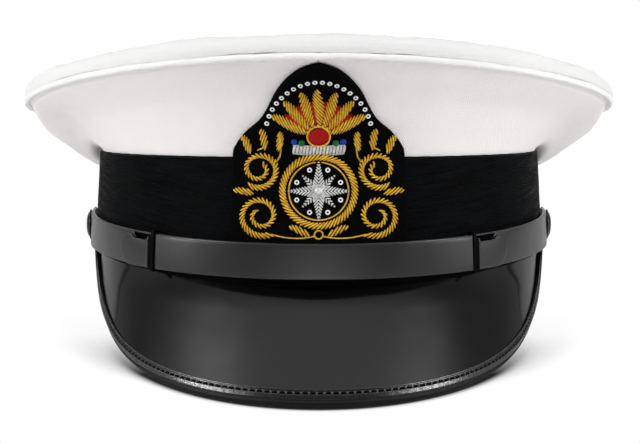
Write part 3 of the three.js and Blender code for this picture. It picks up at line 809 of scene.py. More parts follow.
# %% [markdown]
# ## Where the badge lies
# The badge is sewn flat on the front of the cap, over the band and up the crown. A rule gives the cap's
# front skin at a distance across and a height, so that the felt and every stitch on it follow the same
# surface. Its slope, measured by small moves, tells which way is out.

# %% The front of the cap as a surface
NUDGE = 0.4
SOFT_CORNER = 0.03
fine_section = smooth_line(SIDE_SECTION, 200)


def front_skin(across, height):
    low = np.minimum(height, BAND_TOP)
    wide, long = band_half(low)
    above = height > BAND_TOP
    near_turn = np.arcsin(across / CROWN_HALF_WIDTH)
    up_share = np.clip((height - BAND_TOP - CROWN_SEAM) / side_rise(near_turn), 0, 1)
    share = np.interp(up_share, fine_section[:, 1], fine_section[:, 0])
    overhang = CROWN_HALF_LENGTH - PIPING_TUCK - CROWN_SET_BACK - BAND_HALF_LENGTH + BAND_WALL / 2
    least = BAND_WALL / 2 / overhang
    share = (share + least + np.sqrt((share - least) ** 2 + SOFT_CORNER**2)) / 2
    share = np.where(above, share, 0)
    inner = np.where(above, -BAND_WALL / 2, 0)
    wide = wide + inner + (CROWN_HALF_WIDTH - PIPING_TUCK - wide - inner) * share
    long = long + inner + (CROWN_HALF_LENGTH - PIPING_TUCK - long - inner) * share
    turn = np.arcsin(across / wide)
    return np.stack(np.broadcast_arrays(across, CROWN_SET_BACK * share - long * np.cos(turn), height), -1)


def front_frame(across, height):
    """Skin points with the unit directions across, up and out."""
    across, height = np.broadcast_arrays(np.asarray(across, float), np.asarray(height, float))
    sideways = unit(front_skin(across + NUDGE, height) - front_skin(across - NUDGE, height))
    upwards = unit(front_skin(across, height + 3 * NUDGE) - front_skin(across, height - 3 * NUDGE))
    return front_skin(across, height), sideways, upwards, unit(np.cross(sideways, upwards))


def on_front(across, height, stand):
    skin, _, _, out = front_frame(across, height)
    return skin + out * np.asarray(stand)[..., None]


print("front skin at the top of the band", np.round(front_skin(np.float64(0), np.float64(BAND_TOP)), 2))

# %% [markdown]
# ## The felt patch
# The patch is thick black felt cut to a bell shape. Its outline is a short table of half widths. Rings of
# points shrink from that outline to the middle, and the outer few rings fall away in a quarter round, as
# the cut edge of felt does.

# %% Cut the patch
PATCH_GAP = 0.4
PATCH_WALL = 2.2
PATCH_FACE = PATCH_GAP + PATCH_WALL
PATCH_MIDDLE = 40.0
# The bell's outline as (height, half width), from its foot to its top.
PATCH_HALF_WIDTHS = [
    (13, 31.8), (30, 31.5), (48, 30.8), (52.6, 29.6), (57, 26.4), (61.4, 21.4), (66, 18.4),
    (71.5, 15.6), (76, 12), (79.5, 7.5), (81.4, 2.5), (81.7, 0),
]
PATCH_ROUND = 1.1
PATCH_INSETS = [0, 0.1, 0.35, 0.7, 1.1, 1.8, 3, 5, 8, 12, 16, 20, 24, 27]
FOOT_POINTS = 40

felt = shader("black felt", (0.0015, 0.0015, 0.0018), 0.95, {"Specular IOR Level": 0.04})
spot = object_place(felt)
matted = noise(felt, spot, 700, 5)
feed(felt, "Base Color", tint(felt, matted, (0.0006, 0.0006, 0.0008), (0.003, 0.003, 0.0034)))
raise_by(felt, (matted, 0.0003))

half_line = smooth_line(PATCH_HALF_WIDTHS, 90)
right_edge = np.stack([np.maximum(half_line[:, 1], 0), half_line[:, 0]], -1)
left_edge = (right_edge * [-1, 1])[::-1]
foot_up, foot_half = PATCH_HALF_WIDTHS[0]
foot_across = np.linspace(-foot_half, foot_half, FOOT_POINTS)[1:-1]
foot_edge = np.stack(np.broadcast_arrays(foot_across, foot_up), -1)
outline = np.concatenate([right_edge, left_edge[1:], foot_edge])
inset = np.array(PATCH_INSETS)
shrink = 1 - inset / np.linalg.norm(outline - [0, PATCH_MIDDLE], axis=1).max()
rings = [0, PATCH_MIDDLE] + (outline - [0, PATCH_MIDDLE]) * np.append(shrink, 0)[:, None, None]
fall = np.append(inset, PATCH_ROUND)
drop = PATCH_ROUND - np.sqrt(np.maximum(PATCH_ROUND**2 - np.maximum(PATCH_ROUND - fall, 0) ** 2, 0))
patch_uv = np.concatenate([rings, rings[:, :1]], 1)[::-1]
ring_across, ring_height = rings[::-1, :, 0], rings[::-1, :, 1]
face_stand = np.broadcast_to(PATCH_FACE - drop[::-1, None], ring_across.shape)
patch_front = on_front(ring_across, ring_height, face_stand)
patch_back = on_front(ring_across, ring_height, np.full(ring_across.shape, PATCH_GAP))
patch = wall("badge_patch_felt", patch_front, patch_back, patch_uv, felt, wrap=True, pole=True, sharp=80)
fit(patch, "badge_felt", "badge_patch")

# %% [markdown]
# ## Fuzz on the felt
# Felt has no weave: its edge is a haze of fibres. Blender's hair could do that, but it would be lost in an
# export. So a tree scatters points over the patch and stands a short, thin, bent fibre on each, leaning at
# random. The seeds are fixed, so every run gives the same fuzz.

# %% A tree that grows fibres
FIBRE_LEAN = 0.9
HALF_CIRCLE = 3.14

fuzz_tree, fuzz = new_tree("felt fibres", ["Density", "Length", "Radius", "Material"])
scatter = grow(
    fuzz_tree,
    "GeometryNodeDistributePointsOnFaces",
    {"Mesh": fuzz["Geometry"], "Density": fuzz["Density"], "Seed": 7},
)
tip = grow(fuzz_tree, "ShaderNodeCombineXYZ", {"Z": fuzz["Length"]})
bend = grow(fuzz_tree, "ShaderNodeCombineXYZ", {"X": fuzz["Length"], "Z": fuzz["Length"]})
fibre = grow(
    fuzz_tree,
    "GeometryNodeCurveQuadraticBezier",
    {"Resolution": 3, "Start": (0, 0, 0), "Middle": tip.outputs[0], "End": bend.outputs[0]},
)
needle = grow(fuzz_tree, "GeometryNodeCurvePrimitiveCircle", {"Resolution": 3, "Radius": fuzz["Radius"]})
hair = grow(
    fuzz_tree,
    "GeometryNodeCurveToMesh",
    {"Curve": fibre.outputs[0], "Profile Curve": needle.outputs[0]},
)
spin = grow(
    fuzz_tree,
    "FunctionNodeRandomValue",
    {0: (-FIBRE_LEAN, -FIBRE_LEAN, -HALF_CIRCLE), 1: (FIBRE_LEAN, FIBRE_LEAN, HALF_CIRCLE), "Seed": 5},
    data_type="FLOAT_VECTOR",
)
lean_out = grow(
    fuzz_tree,
    "FunctionNodeRotateEuler",
    {0: scatter.outputs["Rotation"], 1: spin.outputs[0]},
    rotation_type="EULER",
    space="LOCAL",
)
size = grow(fuzz_tree, "FunctionNodeRandomValue", {2: 0.4, 3: 1.2, "Seed": 9}, data_type="FLOAT")
stand = grow(
    fuzz_tree,
    "GeometryNodeInstanceOnPoints",
    {
        "Points": scatter.outputs["Points"],
        "Instance": hair.outputs[0],
        "Rotation": lean_out.outputs[0],
        "Scale": size.outputs[1],
    },
)
close_tree(fuzz_tree, stand.outputs[0], fuzz["Material"])
print("fibre tree with", len(fuzz_tree.nodes), "nodes")

# %% Grow the fuzz
# Fibres to the square metre, and their length and radius in metres.
FIBRES = {"Density": 9.0e5, "Length": 0.00045, "Radius": 0.00002, "Material": felt}
fuzz_piece = grown("badge_patch_fuzz", patch.data.copy(), fuzz_tree, FIBRES)
fit(fuzz_piece, "badge_felt")

# %% [markdown]
# ## Metal thread
# Badges like this are worked in purl: wire coiled into a soft tube, cut into short lengths and sewn down
# side by side like beads. So one stitch is an arched tube, and the tree below puts one at each point of a
# mesh. Three attributes on the points say which way it runs, which way is up and how long it is.

# %% A tree that sews stitches
END_POWER = 5.0
END_THICKNESS = 0.4

stitch_tree, stitch = new_tree("stitches", ["Radius", "Arch", "Material"])
crest = grow(stitch_tree, "ShaderNodeCombineXYZ", {"Z": stitch["Arch"]})
bow = grow(
    stitch_tree,
    "GeometryNodeCurveQuadraticBezier",
    {"Resolution": 6, "Start": (-1, 0, 0), "Middle": crest.outputs[0], "End": (1, 0, 0)},
)
run = grow(stitch_tree, "GeometryNodeSplineParameter")
doubled = calc_in(stitch_tree, "MULTIPLY", run.outputs["Factor"], 2.0)
centred = calc_in(stitch_tree, "SUBTRACT", doubled, 1.0)
fallen = calc_in(stitch_tree, "POWER", calc_in(stitch_tree, "ABSOLUTE", centred), END_POWER)
taper = calc_in(stitch_tree, "SUBTRACT", 1.0, fallen)
taper = calc_in(stitch_tree, "MULTIPLY", taper, 1 - END_THICKNESS)
taper = calc_in(stitch_tree, "ADD", taper, END_THICKNESS)
thick = calc_in(stitch_tree, "MULTIPLY", taper, stitch["Radius"])
bow_line = marked_with(stitch_tree, bow.outputs[0], "along", centred)
ring = grow(stitch_tree, "GeometryNodeCurvePrimitiveCircle", {"Resolution": 6, "Radius": 1.0})
tube = grow(
    stitch_tree,
    "GeometryNodeCurveToMesh",
    {"Curve": bow_line, "Profile Curve": ring.outputs[0], "Scale": thick, "Fill Caps": True},
)
ways = {0: stored(stitch_tree, "up", "FLOAT_VECTOR"), 1: stored(stitch_tree, "across", "FLOAT_VECTOR")}
aim = grow(stitch_tree, "FunctionNodeAxesToRotation", ways, primary_axis="Z", secondary_axis="X")
half = stored(stitch_tree, "half", "FLOAT")
stretch = grow(stitch_tree, "ShaderNodeCombineXYZ", {"X": half, "Y": 1.0, "Z": 1.0})
sewn = grow(
    stitch_tree,
    "GeometryNodeInstanceOnPoints",
    {
        "Points": stitch["Geometry"],
        "Instance": tube.outputs[0],
        "Rotation": aim.outputs[0],
        "Scale": stretch.outputs[0],
    },
)
close_tree(stitch_tree, sewn.outputs[0], stitch["Material"])
print("stitch tree with", len(stitch_tree.nodes), "nodes")

# %% [markdown]
# ## Gold and silver
# The wire of a purl is metal, but its fine coils throw the light every way, so from arm's length it is more
# a satin gold than a mirror. The material is therefore only partly metallic. The coils are rings along
# each stitch, in the bump and a little in the colour as painted shade, darker between the rings and
# lighter on them, and soft noise keeps neighbouring stitches apart.

# %% Draw the wire
COIL_PITCH = 0.00034
COIL_PAINTED_SHADE = 0.18
SOFT_TONE = 0.9


def purl(name, dark, light, roughness):
    """Coiled wire with fine rings along each stitch, shown by a bump and by painted shade, and a tone that
    changes a little.
    """
    metal = shader(name, light, roughness, {"Metallic": 0.2})
    along = add(metal, "ShaderNodeAttribute", attribute_name="along").outputs["Fac"]
    half_length = add(metal, "ShaderNodeAttribute", attribute_name="half").outputs["Fac"]
    length = calc(metal, "MULTIPLY", along, half_length)
    coil = calc(metal, "SINE", calc(metal, "MULTIPLY", length, 2 * math.pi / COIL_PITCH))
    tone = ramp(metal, noise(metal, object_place(metal), 800, 2), 0, 1, 0.25, 0.7)
    tone = calc(metal, "MULTIPLY", tone, SOFT_TONE)
    # Painted shade: the coil rings make the colour darker between them and lighter on them.
    share = calc(metal, "ADD", tone, calc(metal, "MULTIPLY", coil, COIL_PAINTED_SHADE))
    feed(metal, "Base Color", tint(metal, share, dark, light))
    raise_by(metal, (coil, 0.00006))
    return metal


gold = purl("gold purl", (0.7, 0.3, 0.002), (1.0, 0.7, 0.06), 0.22)
silver = purl("silver purl", (0.6, 0.6, 0.6), (0.96, 0.96, 0.95), 0.22)
print("wire coiled", round(MM / COIL_PITCH, 1), "times in a millimetre")

# %% [markdown]
# ## Sewing on the cap
# A stitch is written down as it lies on the felt: where it is across and up, which way it runs, its half
# length and how high it lies. The front of the cap then turns that into a point with its directions, which
# is all that the tree needs.


# %% Sew where the table says
def point_mesh(name, points, fields):
    """A mesh of bare points, with a number or a direction stored on each."""
    mesh = bpy.data.meshes.new(name + " places")
    mesh.from_pydata(points.tolist(), [], [])
    for label, values in fields.items():
        kind, field = ("FLOAT_VECTOR", "vector") if values.ndim == 2 else ("FLOAT", "value")
        mesh.attributes.new(label, kind, "POINT").data.foreach_set(field, values.astype(np.float32).ravel())
    return mesh


def sew(name, points, across, up, half, radius, arch, material):
    """Sews a stitch at each point of the frame, with its directions and half length there."""
    mesh = point_mesh(name, points, {"across": across, "up": up, "half": half})
    return grown(name, mesh, stitch_tree, {"Radius": radius * MM, "Arch": arch * MM, "Material": material})


def stitches(name, places, radius, arch, material):
    """Sews a stitch at each place, given as (across, up, direction across, direction up, half, lift)."""
    table = np.array(places, float)
    skin, sideways, upwards, out = front_frame(table[:, 0], table[:, 1])
    way = sideways * table[:, 2:3] + upwards * table[:, 3:4]
    points = to_row(skin + out * (PATCH_FACE + table[:, 5:6]))
    return sew(name, points, turned(unit(way)), turned(out), table[:, 4] * MM, radius, arch, material)


def wires(name, lines, radius, lift, material, closed=False):
    """Fine wires couched along lines of (across, up) points."""
    paths = []
    for line in lines:
        across, up = np.array(line, float).T
        paths.append(to_row(on_front(across, up, np.full(len(across), PATCH_FACE + lift))))
    uneven = {"unevenness": 0.3, "noise_scale": 900}
    return cords(name, paths, closed, radius, sides=6, material=material, **uneven)


print("stitches lie", PATCH_FACE, "mm out from the cap's skin")

# %% [markdown]
# ## The badge's design
# A silver compass star in a gold rope ring, gold scrolls on each side and a palmette above: all of it is
# worked from three shapes. A leaf is a row of parallel slanted stitches under a pointed outline. A rope is
# a row of slanted stitches along a line. A ray is a pair of rows that meet on a ridge. The felt shows as a
# dark hair line between neighbouring stitches, so their pitch is a little more than their thickness.

# %% Leaves worked in stitches
PURL = 0.37
PURL_PITCH = 0.84
SLANT = math.radians(38)
PURL_STEP = PURL_PITCH / math.sin(SLANT)
LEAF_FULLNESS = 0.6
LEAF_LEAST = 0.6
LEAF_LIFT = 0.3


def spun(x, y, angle):
    return x * math.cos(angle) - y * math.sin(angle), x * math.sin(angle) + y * math.cos(angle)


def heading_axis(heading):
    """The direction of a heading, clockwise from straight up in degrees."""
    return math.sin(math.radians(heading)), math.cos(math.radians(heading))


def leaf(across, up, heading, length, width, lean=1, blunt=0.75):
    """Slanted stitches that fill a leaf from its stem."""
    axis = heading_axis(heading)
    way = spun(*axis, lean * SLANT)
    count = max(3, round(length / PURL_STEP))
    rows = []
    for k in range(count):
        share = (k + 0.5) / count
        reach = (math.sin(math.pi * share**blunt)) ** LEAF_FULLNESS
        half = max(width / 2 * reach / math.sin(SLANT), LEAF_LEAST)
        x = across + axis[0] * length * share
        y = up + axis[1] * length * share
        rows.append((x, y, *way, half, LEAF_LIFT))
    return rows


print("a leaf of 7 by 3 mm takes", len(leaf(0, 0, 0, 7, 3)), "stitches")


# %% Ropes worked in stitches
def circle_line(across, up, radius, count=121):
    angle = np.linspace(0, 2 * np.pi, count)
    return np.stack([across + radius * np.sin(angle), up + radius * np.cos(angle)], -1)


def rope(line, half, lift, slant=SLANT):
    """Slanted stitches along a line of (across, up) points, with a half width at each point."""
    line = np.array(line, float)
    reach = arc_lengths(line, 0)
    places = np.linspace(0, reach[-1], round(reach[-1] / PURL_STEP) + 1)
    places = (places[1:] + places[:-1]) / 2
    x = np.interp(places, reach, line[:, 0])
    y = np.interp(places, reach, line[:, 1])
    wide = np.interp(places, reach, np.broadcast_to(half, reach.shape))
    rows = []
    for px, py, dx, dy, w in zip(x, y, np.gradient(x), np.gradient(y), wide):
        size = math.hypot(dx, dy)
        rows.append((px, py, *spun(dx / size, dy / size, slant), w / abs(math.sin(slant)), lift))
    return rows


print("a rope round a circle of 20 mm takes", len(rope(circle_line(0, 0, 10), 1, 0)), "stitches")

# %% Rays worked in stitches
RAY_STEP = 1.02
RAY_TIP = 0.12
RAY_OVERLAP = 0.2
RIDGE_FALL = 0.6


def ray(middle, heading, start, end, width, ridge):
    """Two rows of stitches that meet on the ridge of a star's ray."""
    axis = heading_axis(heading)
    rows = []
    for side in (-1, 1):
        way = spun(*axis, side * SLANT)
        count = max(3, round((end - start) / RAY_STEP))
        for k in range(count):
            share = k / (count - 1)
            reach = start + (end - start) * share
            half_width = width / 2 * (1 - share) + RAY_TIP
            shift = side * half_width / 2
            x = middle[0] + axis[0] * reach - axis[1] * shift
            y = middle[1] + axis[1] * reach + axis[0] * shift
            half = half_width / 2 / math.sin(SLANT) + RAY_OVERLAP
            rows.append((x, y, *way, half, ridge * (1 - share * RIDGE_FALL)))
    return rows


print("a ray of 10 mm takes", len(ray((0, 0), 0, 0, 10, 4, 1)), "stitches")

# %% [markdown]
# ## Ring and star
# The ring is a rope along a circle. The star has four long and four short rays, and the long ones stand
# higher, so they lie on top and the light tells them apart.

# %% Work the ring and the star
RING_UP = 35.0
RING_RADIUS = 12.6
RING_HALF = 1.25
RAYS = 8
RAY_START = 0.6
# A ray's end, width and ridge, in millimetres.
LONG_RAY = (10.5, 4.2, 1.1)
SHORT_RAY = (7.8, 3.4, 0.6)

ring_rows = rope(circle_line(0, RING_UP, RING_RADIUS), RING_HALF, lift=0.6)
ring_rope = stitches("bullion_ring", ring_rows, PURL, arch=1.0, material=gold)
fit(ring_rope, "gold_wire", "badge_ring")

star_rows = []
for k in range(RAYS):
    end, width, ridge = LONG_RAY if k % 2 == 0 else SHORT_RAY
    star_rows += ray((0, RING_UP), 360 / RAYS * k, RAY_START, end, width, ridge)
star = stitches("bullion_star", star_rows, radius=0.31, arch=0.35, material=silver)
fit(star, "silver_wire", "badge_star")

# %% [markdown]
# ## Scrolls
# Two scrolls stand on each side of the ring. Each is a rope along a spiral that winds in and gets thinner,
# so one rule with a few numbers draws all four, and the left pair mirrors the right one.

# %% Work the scrolls
SCROLL_TURNS = 1.5
SCROLL_CORE = 0.3
SCROLL_CORD = 1.15
SCROLL_THINNING = 0.35
# Each scroll's level, height, distance across, radius and the bearing at which it begins.
SCROLLS = [("lower", 26, 20.4, 7.6, -150), ("upper", 43, 20.9, 7, 150)]


def spiral(up, across, radius, begin, sign):
    share = np.linspace(0, 1, 160)
    angle = math.radians(begin) + math.copysign(1, begin) * share * SCROLL_TURNS * 2 * np.pi
    reach = radius * (1 - (1 - SCROLL_CORE) * share)
    line = np.stack([sign * (across + reach * np.sin(angle)), up + reach * np.cos(angle)], -1)
    return line, SCROLL_CORD * (1 - SCROLL_THINNING * share)


for side, sign in (("left", -1), ("right", 1)):
    for level, up, across, radius, begin in SCROLLS:
        line, half_width = spiral(up, across, radius, begin, sign)
        rows = rope(line, half_width, lift=0.45, slant=SLANT * sign)
        scroll = stitches(f"bullion_scroll_{side}_{level}", rows, PURL, arch=0.85, material=gold)
        fit(scroll, "gold_wire", f"badge_scroll_{side}_{level}")

# %% [markdown]
# ## Palmette
# The palmette is seven leaves that fan out from a red heart. The rule for a leaf already makes each of
# them, so the fan only turns it, and the two halves slant their stitches to opposite sides.

# %% Work the palmette
PALMETTE_UP = 56.0
PALMETTE_FAN = 132
PETALS = 7
PETAL_LENGTH = 18.0
PETAL_WIDTH = 4.4
PETAL_START = 3.6
PETAL_BLUNT = 1.25

petal_rows = []
for k in range(PETALS):
    heading = PALMETTE_FAN * (k / (PETALS - 1) - 0.5)
    x, y = (PETAL_START * part for part in heading_axis(heading))
    length = PETAL_LENGTH - PETAL_START
    slanting = -1 if heading < 0 else 1
    petal_rows += leaf(x, PALMETTE_UP + y, heading, length, PETAL_WIDTH, slanting, PETAL_BLUNT)
palmette = stitches("bullion_palmette", petal_rows, PURL, arch=0.8, material=gold)
fit(palmette, "gold_wire", "badge_palmette")

# %% [markdown]
# ## Leaves and stems
# Smaller leaves fill the corners beside the scrolls, fine wires carry the stems from one scroll to the next,
# and a spray closes the foot of the badge, so that the gold covers the felt evenly. One half is written
# down and the other is its mirror image.

# %% Work the leaves
# The leaves of one half as (across, up, heading, length, width), from the stem.
SMALL_LEAVES = [
    (13.2, 51.2, 8, 6.4, 3.3), (18.2, 51.8, 20, 7.2, 3.5), (23.6, 50.4, 34, 6.6, 3.4),
    (23.4, 34.8, 90, 6.6, 3.0), (3.4, 19.6, 72, 7.4, 3.0),
]
leaf_rows = []
for across, up, heading, length, width in SMALL_LEAVES:
    for sign in (-1, 1):
        leaf_rows += leaf(sign * across, up, sign * heading, length, width, sign)
leaves = stitches("bullion_leaves", leaf_rows, PURL, arch=0.7, material=gold)
fit(leaves, "gold_wire")

# %% Couch the stems
TIE_UP = 19.2
TIE_RADIUS = 1.5
INNER_WIRE = 2.1
STEMS = [
    [(1.6, 18.6), (6, 17.9), (11.5, 18.1), (16.6, 19.2)],
    [(15.0, 45.5), (13.6, 48), (13.2, 51.2)],
    [(21.5, 50.2), (20.2, 51), (18.4, 51.9)],
]
stem_lines = []
for stem in STEMS:
    line = smooth_line(stem, 24)
    stem_lines += [line, line * [-1, 1]]
fit(wires("bullion_stems", stem_lines, radius=0.3, lift=0.25, material=gold), "gold_wire")
inner_wire = circle_line(0, RING_UP, RING_RADIUS - INNER_WIRE)[:-1]
tie = circle_line(0, TIE_UP, TIE_RADIUS, 41)[:-1]
circles = wires("bullion_circles", [inner_wire, tie], radius=0.3, lift=0.3, material=gold, closed=True)
fit(circles, "gold_wire")

# %% [markdown]
# ## Coloured thread
# The heart is red silk in satin stitch, padded to a low dome and edged with a gold wire, and red silk fills
# the fan between the petals. Silk is no metal: it has a soft gloss, and the tone changes with its strands.


# %% Dye the silk
def silk(name, dark, light):
    """Satin-stitched thread: a soft gloss and fine, uneven strands."""
    thread = shader(name, light, 0.45, {"Specular IOR Level": 0.2})
    strand = noise(thread, object_place(thread), 2200, 2)
    feed(thread, "Base Color", tint(thread, strand, dark, light))
    raise_by(thread, (strand, 0.00005))
    return thread


red_silk = silk("red silk", (0.26, 0.002, 0.001), (0.56, 0.006, 0.004))
green_silk = silk("green silk", (0.002, 0.07, 0.012), (0.006, 0.2, 0.035))
blue_silk = silk("blue silk", (0.003, 0.018, 0.2), (0.01, 0.06, 0.5))
white_silk = silk("white silk", (0.72, 0.72, 0.72), (0.95, 0.95, 0.95))
print("silks:", [thread.name for thread in (red_silk, green_silk, blue_silk, white_silk)])

# %% Work the heart and the fan
HEART_RADIUS = 3.5
HEART_STEP = 0.58
HEART_START = 0.3
HEART_LEAN = 0.12
HEART_FOOT = 0.25
HEART_DOME = 0.3
FAN_START = 3.8
FAN_LIFT = 0.05
# The threads between two petals as (degrees from the middle, end).
FAN_THREADS = [(-4.2, 13.4), (-1.4, 14.6), (1.4, 14.6), (4.2, 13.4)]

heart_rows = []
for x in np.arange(-HEART_RADIUS + HEART_START, HEART_RADIUS, HEART_STEP):
    chord = math.sqrt(HEART_RADIUS**2 - x**2)
    lift = HEART_FOOT + HEART_DOME * chord / HEART_RADIUS
    heart_rows.append((x, PALMETTE_UP, HEART_LEAN, 1, chord, lift))
fit(stitches("silk_heart", heart_rows, radius=0.33, arch=1.1, material=red_silk), "coloured_thread")
fan_rows = []
for k in range(PETALS - 1):
    middle = PALMETTE_FAN * ((k + 0.5) / (PETALS - 1) - 0.5)
    for spread, end in FAN_THREADS:
        axis = heading_axis(middle + spread)
        reach = (FAN_START + end) / 2
        half = (end - FAN_START) / 2
        fan_rows.append((axis[0] * reach, PALMETTE_UP + axis[1] * reach, *axis, half, FAN_LIFT))
fit(stitches("silk_fan", fan_rows, radius=0.34, arch=0.2, material=red_silk), "coloured_thread")

# %% [markdown]
# ## The silver bar
# A bowed bar of thick silver purl lies under the palmette, with a wire along each side of it. The bow is a
# plain square law, so that the stitches and both wires can follow the same line.

# %% Work the bar and edge the heart
BAR_HALF = 9.0
BAR_UP = 50.2
BAR_BOW = 0.008
BAR_STEP = 1.15
BAR_START = 0.5
BAR_EDGE = 1.8
BAR_STITCH = {"lean": 0.2, "half": 1.7, "lift": 0.5}
HEART_EDGE = 0.4


def bar_height(across):
    return BAR_UP + BAR_BOW * across**2


bar_rows = []
for x in np.arange(-BAR_HALF + BAR_START, BAR_HALF, BAR_STEP):
    bar_rows.append((x, bar_height(x), BAR_STITCH["lean"], 1, BAR_STITCH["half"], BAR_STITCH["lift"]))
fit(stitches("bullion_bar", bar_rows, radius=0.56, arch=1.7, material=silver), "silver_wire")
bar_across = np.linspace(-BAR_HALF, BAR_HALF, 40)
bar_edges = [np.stack([bar_across, bar_height(bar_across) + shift], -1) for shift in (-BAR_EDGE, BAR_EDGE)]
fit(wires("bullion_bar_edges", bar_edges, radius=0.34, lift=0.3, material=silver), "silver_wire")
heart_edge = circle_line(0, PALMETTE_UP, HEART_RADIUS + HEART_EDGE, 61)[:-1]
heart_wire = wires("bullion_heart_edge", [heart_edge], radius=0.4, lift=0.5, material=gold, closed=True)
fit(heart_wire, "gold_wire")

# %% [markdown]
# ## Little rings
# White rings stand round the palmette and between the rays of the star. One more tree sets a small torus on
# each point and turns it to the surface there, which beats placing each by hand.

# %% A tree that sets rings
ring_tree, ring_in = new_tree("rings and knots", ["Ring", "Wire", "Material"])
hoop = grow(ring_tree, "GeometryNodeCurvePrimitiveCircle", {"Resolution": 14, "Radius": ring_in["Ring"]})
wire = grow(ring_tree, "GeometryNodeCurvePrimitiveCircle", {"Resolution": 7, "Radius": ring_in["Wire"]})
torus = grow(
    ring_tree,
    "GeometryNodeCurveToMesh",
    {"Curve": hoop.outputs[0], "Profile Curve": wire.outputs[0]},
)
ring_up = stored(ring_tree, "up", "FLOAT_VECTOR")
ring_aim = grow(ring_tree, "FunctionNodeAlignRotationToVector", {"Vector": ring_up}, axis="Z")
set_down = grow(
    ring_tree,
    "GeometryNodeInstanceOnPoints",
    {"Points": ring_in["Geometry"], "Instance": torus.outputs[0], "Rotation": ring_aim.outputs[0]},
)
close_tree(ring_tree, set_down.outputs[0], ring_in["Material"])
print("ring tree with", len(ring_tree.nodes), "nodes")

# %% Set the white rings
HALO_REACH = 20.2
HALO_HALF_ANGLE = 76
HALO_COUNT = 20
HALO_WIDTH = 0.93
HALO_HEIGHT = 1.02
STAR_RINGS = 8.3


def rings_at(name, spots, ring, wire, lift, material):
    """Sets a ring of wire at each (across, up) spot of the badge."""
    across, up = np.array(spots, float).T
    skin, _, _, out = front_frame(across, up)
    mesh = point_mesh(name, to_row(skin + out * (PATCH_FACE + lift)), {"up": turned(out)})
    return grown(name, mesh, ring_tree, {"Ring": ring * MM, "Wire": wire * MM, "Material": material})


halo = []
for heading in np.linspace(-HALO_HALF_ANGLE, HALO_HALF_ANGLE, HALO_COUNT):
    axis = heading_axis(heading)
    halo.append((HALO_REACH * axis[0] * HALO_WIDTH, PALMETTE_UP + HALO_REACH * axis[1] * HALO_HEIGHT))
for k in range(RAYS):
    axis = heading_axis(360 / RAYS * (k + 0.5))
    halo.append((STAR_RINGS * axis[0], RING_UP + STAR_RINGS * axis[1]))
white_rings = rings_at("white_rings", halo, ring=0.66, wire=0.27, lift=0.3, material=white_silk)
fit(white_rings, "coloured_thread")

# %% [markdown]
# ## Knots
# A knot is the same torus, but so fat that its hole closes. Green and blue ones sit beside the heart, and a
# silver one is the boss of the star.

# %% Tie the knots
# Each kind's name, slot, spots, ring, wire, lift and material.
KNOTS = [
    ("green_knots", "coloured_thread", [(-6.0, 53.4), (6.0, 53.4)], 0.55, 0.66, 0.4, green_silk),
    ("blue_knots", "coloured_thread", [(-8.6, 53.9), (8.6, 53.9)], 0.5, 0.62, 0.4, blue_silk),
    ("star_boss", "silver_wire", [(0, RING_UP)], 0.6, 0.75, 1.5, silver),
]
for name, slot, *knot in KNOTS:
    fit(rings_at(name, *knot), slot)

# %% [markdown]
# ## Patent leather
# Peak and strap are patent leather: a black sheet under a clear glossy coat. The coat is nearly flat, but
# never quite, so a very low, wide swell in the normal bends the reflections a little, and fine dust and
# rub marks vary the gloss. Colour and reflections come from the shader and the lights alone.


# %% Make the patent leather
def patent(name, colour, roughness, swell, shine):
    """Black gloss with a swell, in metres, and a specular level for its shine."""
    coat = shader(name, colour, roughness, {"Specular IOR Level": shine})
    spot = object_place(coat)
    rubbed = noise(coat, spot, 55, 4)
    feed(coat, "Roughness", ramp(coat, rubbed, roughness * 0.75, roughness * 1.35))
    raise_by(coat, (noise(coat, spot, 28, 2), swell), (noise(coat, spot, 420, 2), swell * 0.02))
    return coat


peak_patent = patent("black patent, peak", (0.003, 0.003, 0.0034), 0.1, 0.0006, 0.3)
strap_patent = patent("black patent, strap", (0.016, 0.016, 0.0165), 0.22, 0.0006, 0.7)
button_gloss = patent("black button", (0.003, 0.003, 0.0034), 0.15, 0.0002, 0.4)
print("patent for", [material.name for material in (peak_patent, strap_patent, button_gloss)])

# %% [markdown]
# ## Binding leather
# The binding is a thinner, pebbled leather. Cells of a Voronoi texture are its grain. It is glossy on top,
# but its outer roll, which takes the knocks, is rubbed dull: the UV map tells how far round the fold a spot
# is, and past the ridge the leather gets rougher and loses its shine. The thread is black and matt.

# %% Make the binding leather and its thread
WORN_FROM = 5.0
WORN_TO = 5.8
WORN_ROUGH = 0.25

binding_leather = shader("black binding leather", (0.003, 0.003, 0.0034), 0.2, {"Specular IOR Level": 0.9})
spot = object_place(binding_leather)
cells = {"Vector": spot, "Scale": 1300.0}
pebble = add(binding_leather, "ShaderNodeTexVoronoi", cells, feature="DISTANCE_TO_EDGE").outputs["Distance"]
grain = ramp(binding_leather, pebble, 0, 1, 0, 0.35)
worn = ramp(binding_leather, uv_lengths(binding_leather)[2], 0, 1, WORN_FROM, WORN_TO)
worn_rough = calc(binding_leather, "MULTIPLY", worn, WORN_ROUGH)
rough = calc(binding_leather, "ADD", ramp(binding_leather, grain, 0.25, 0.12), worn_rough)
feed(binding_leather, "Roughness", rough)
feed(binding_leather, "Specular IOR Level", ramp(binding_leather, worn, 0.9, 0.2))
raise_by(binding_leather, (grain, 0.00003), (noise(binding_leather, spot, 180, 3), 0.00015))

thread_black = shader("black thread", (0.0012, 0.0012, 0.0014), 0.6, {"Specular IOR Level": 0.08})
fibres = noise(thread_black, object_place(thread_black), 3000, 2)
feed(thread_black, "Roughness", ramp(thread_black, fibres, 0.4, 0.7))
print("binding leather with", len(binding_leather.node_tree.nodes), "nodes")

# %% [markdown]
# ## The peak
# The peak is the front foot of the band carried forwards and down. Each section starts under the band,
# where the root sweeps up a little, and runs down the slope with a slight hollow. How far it reaches falls
# off round the sides by a power rule that gives the broad, full outline.

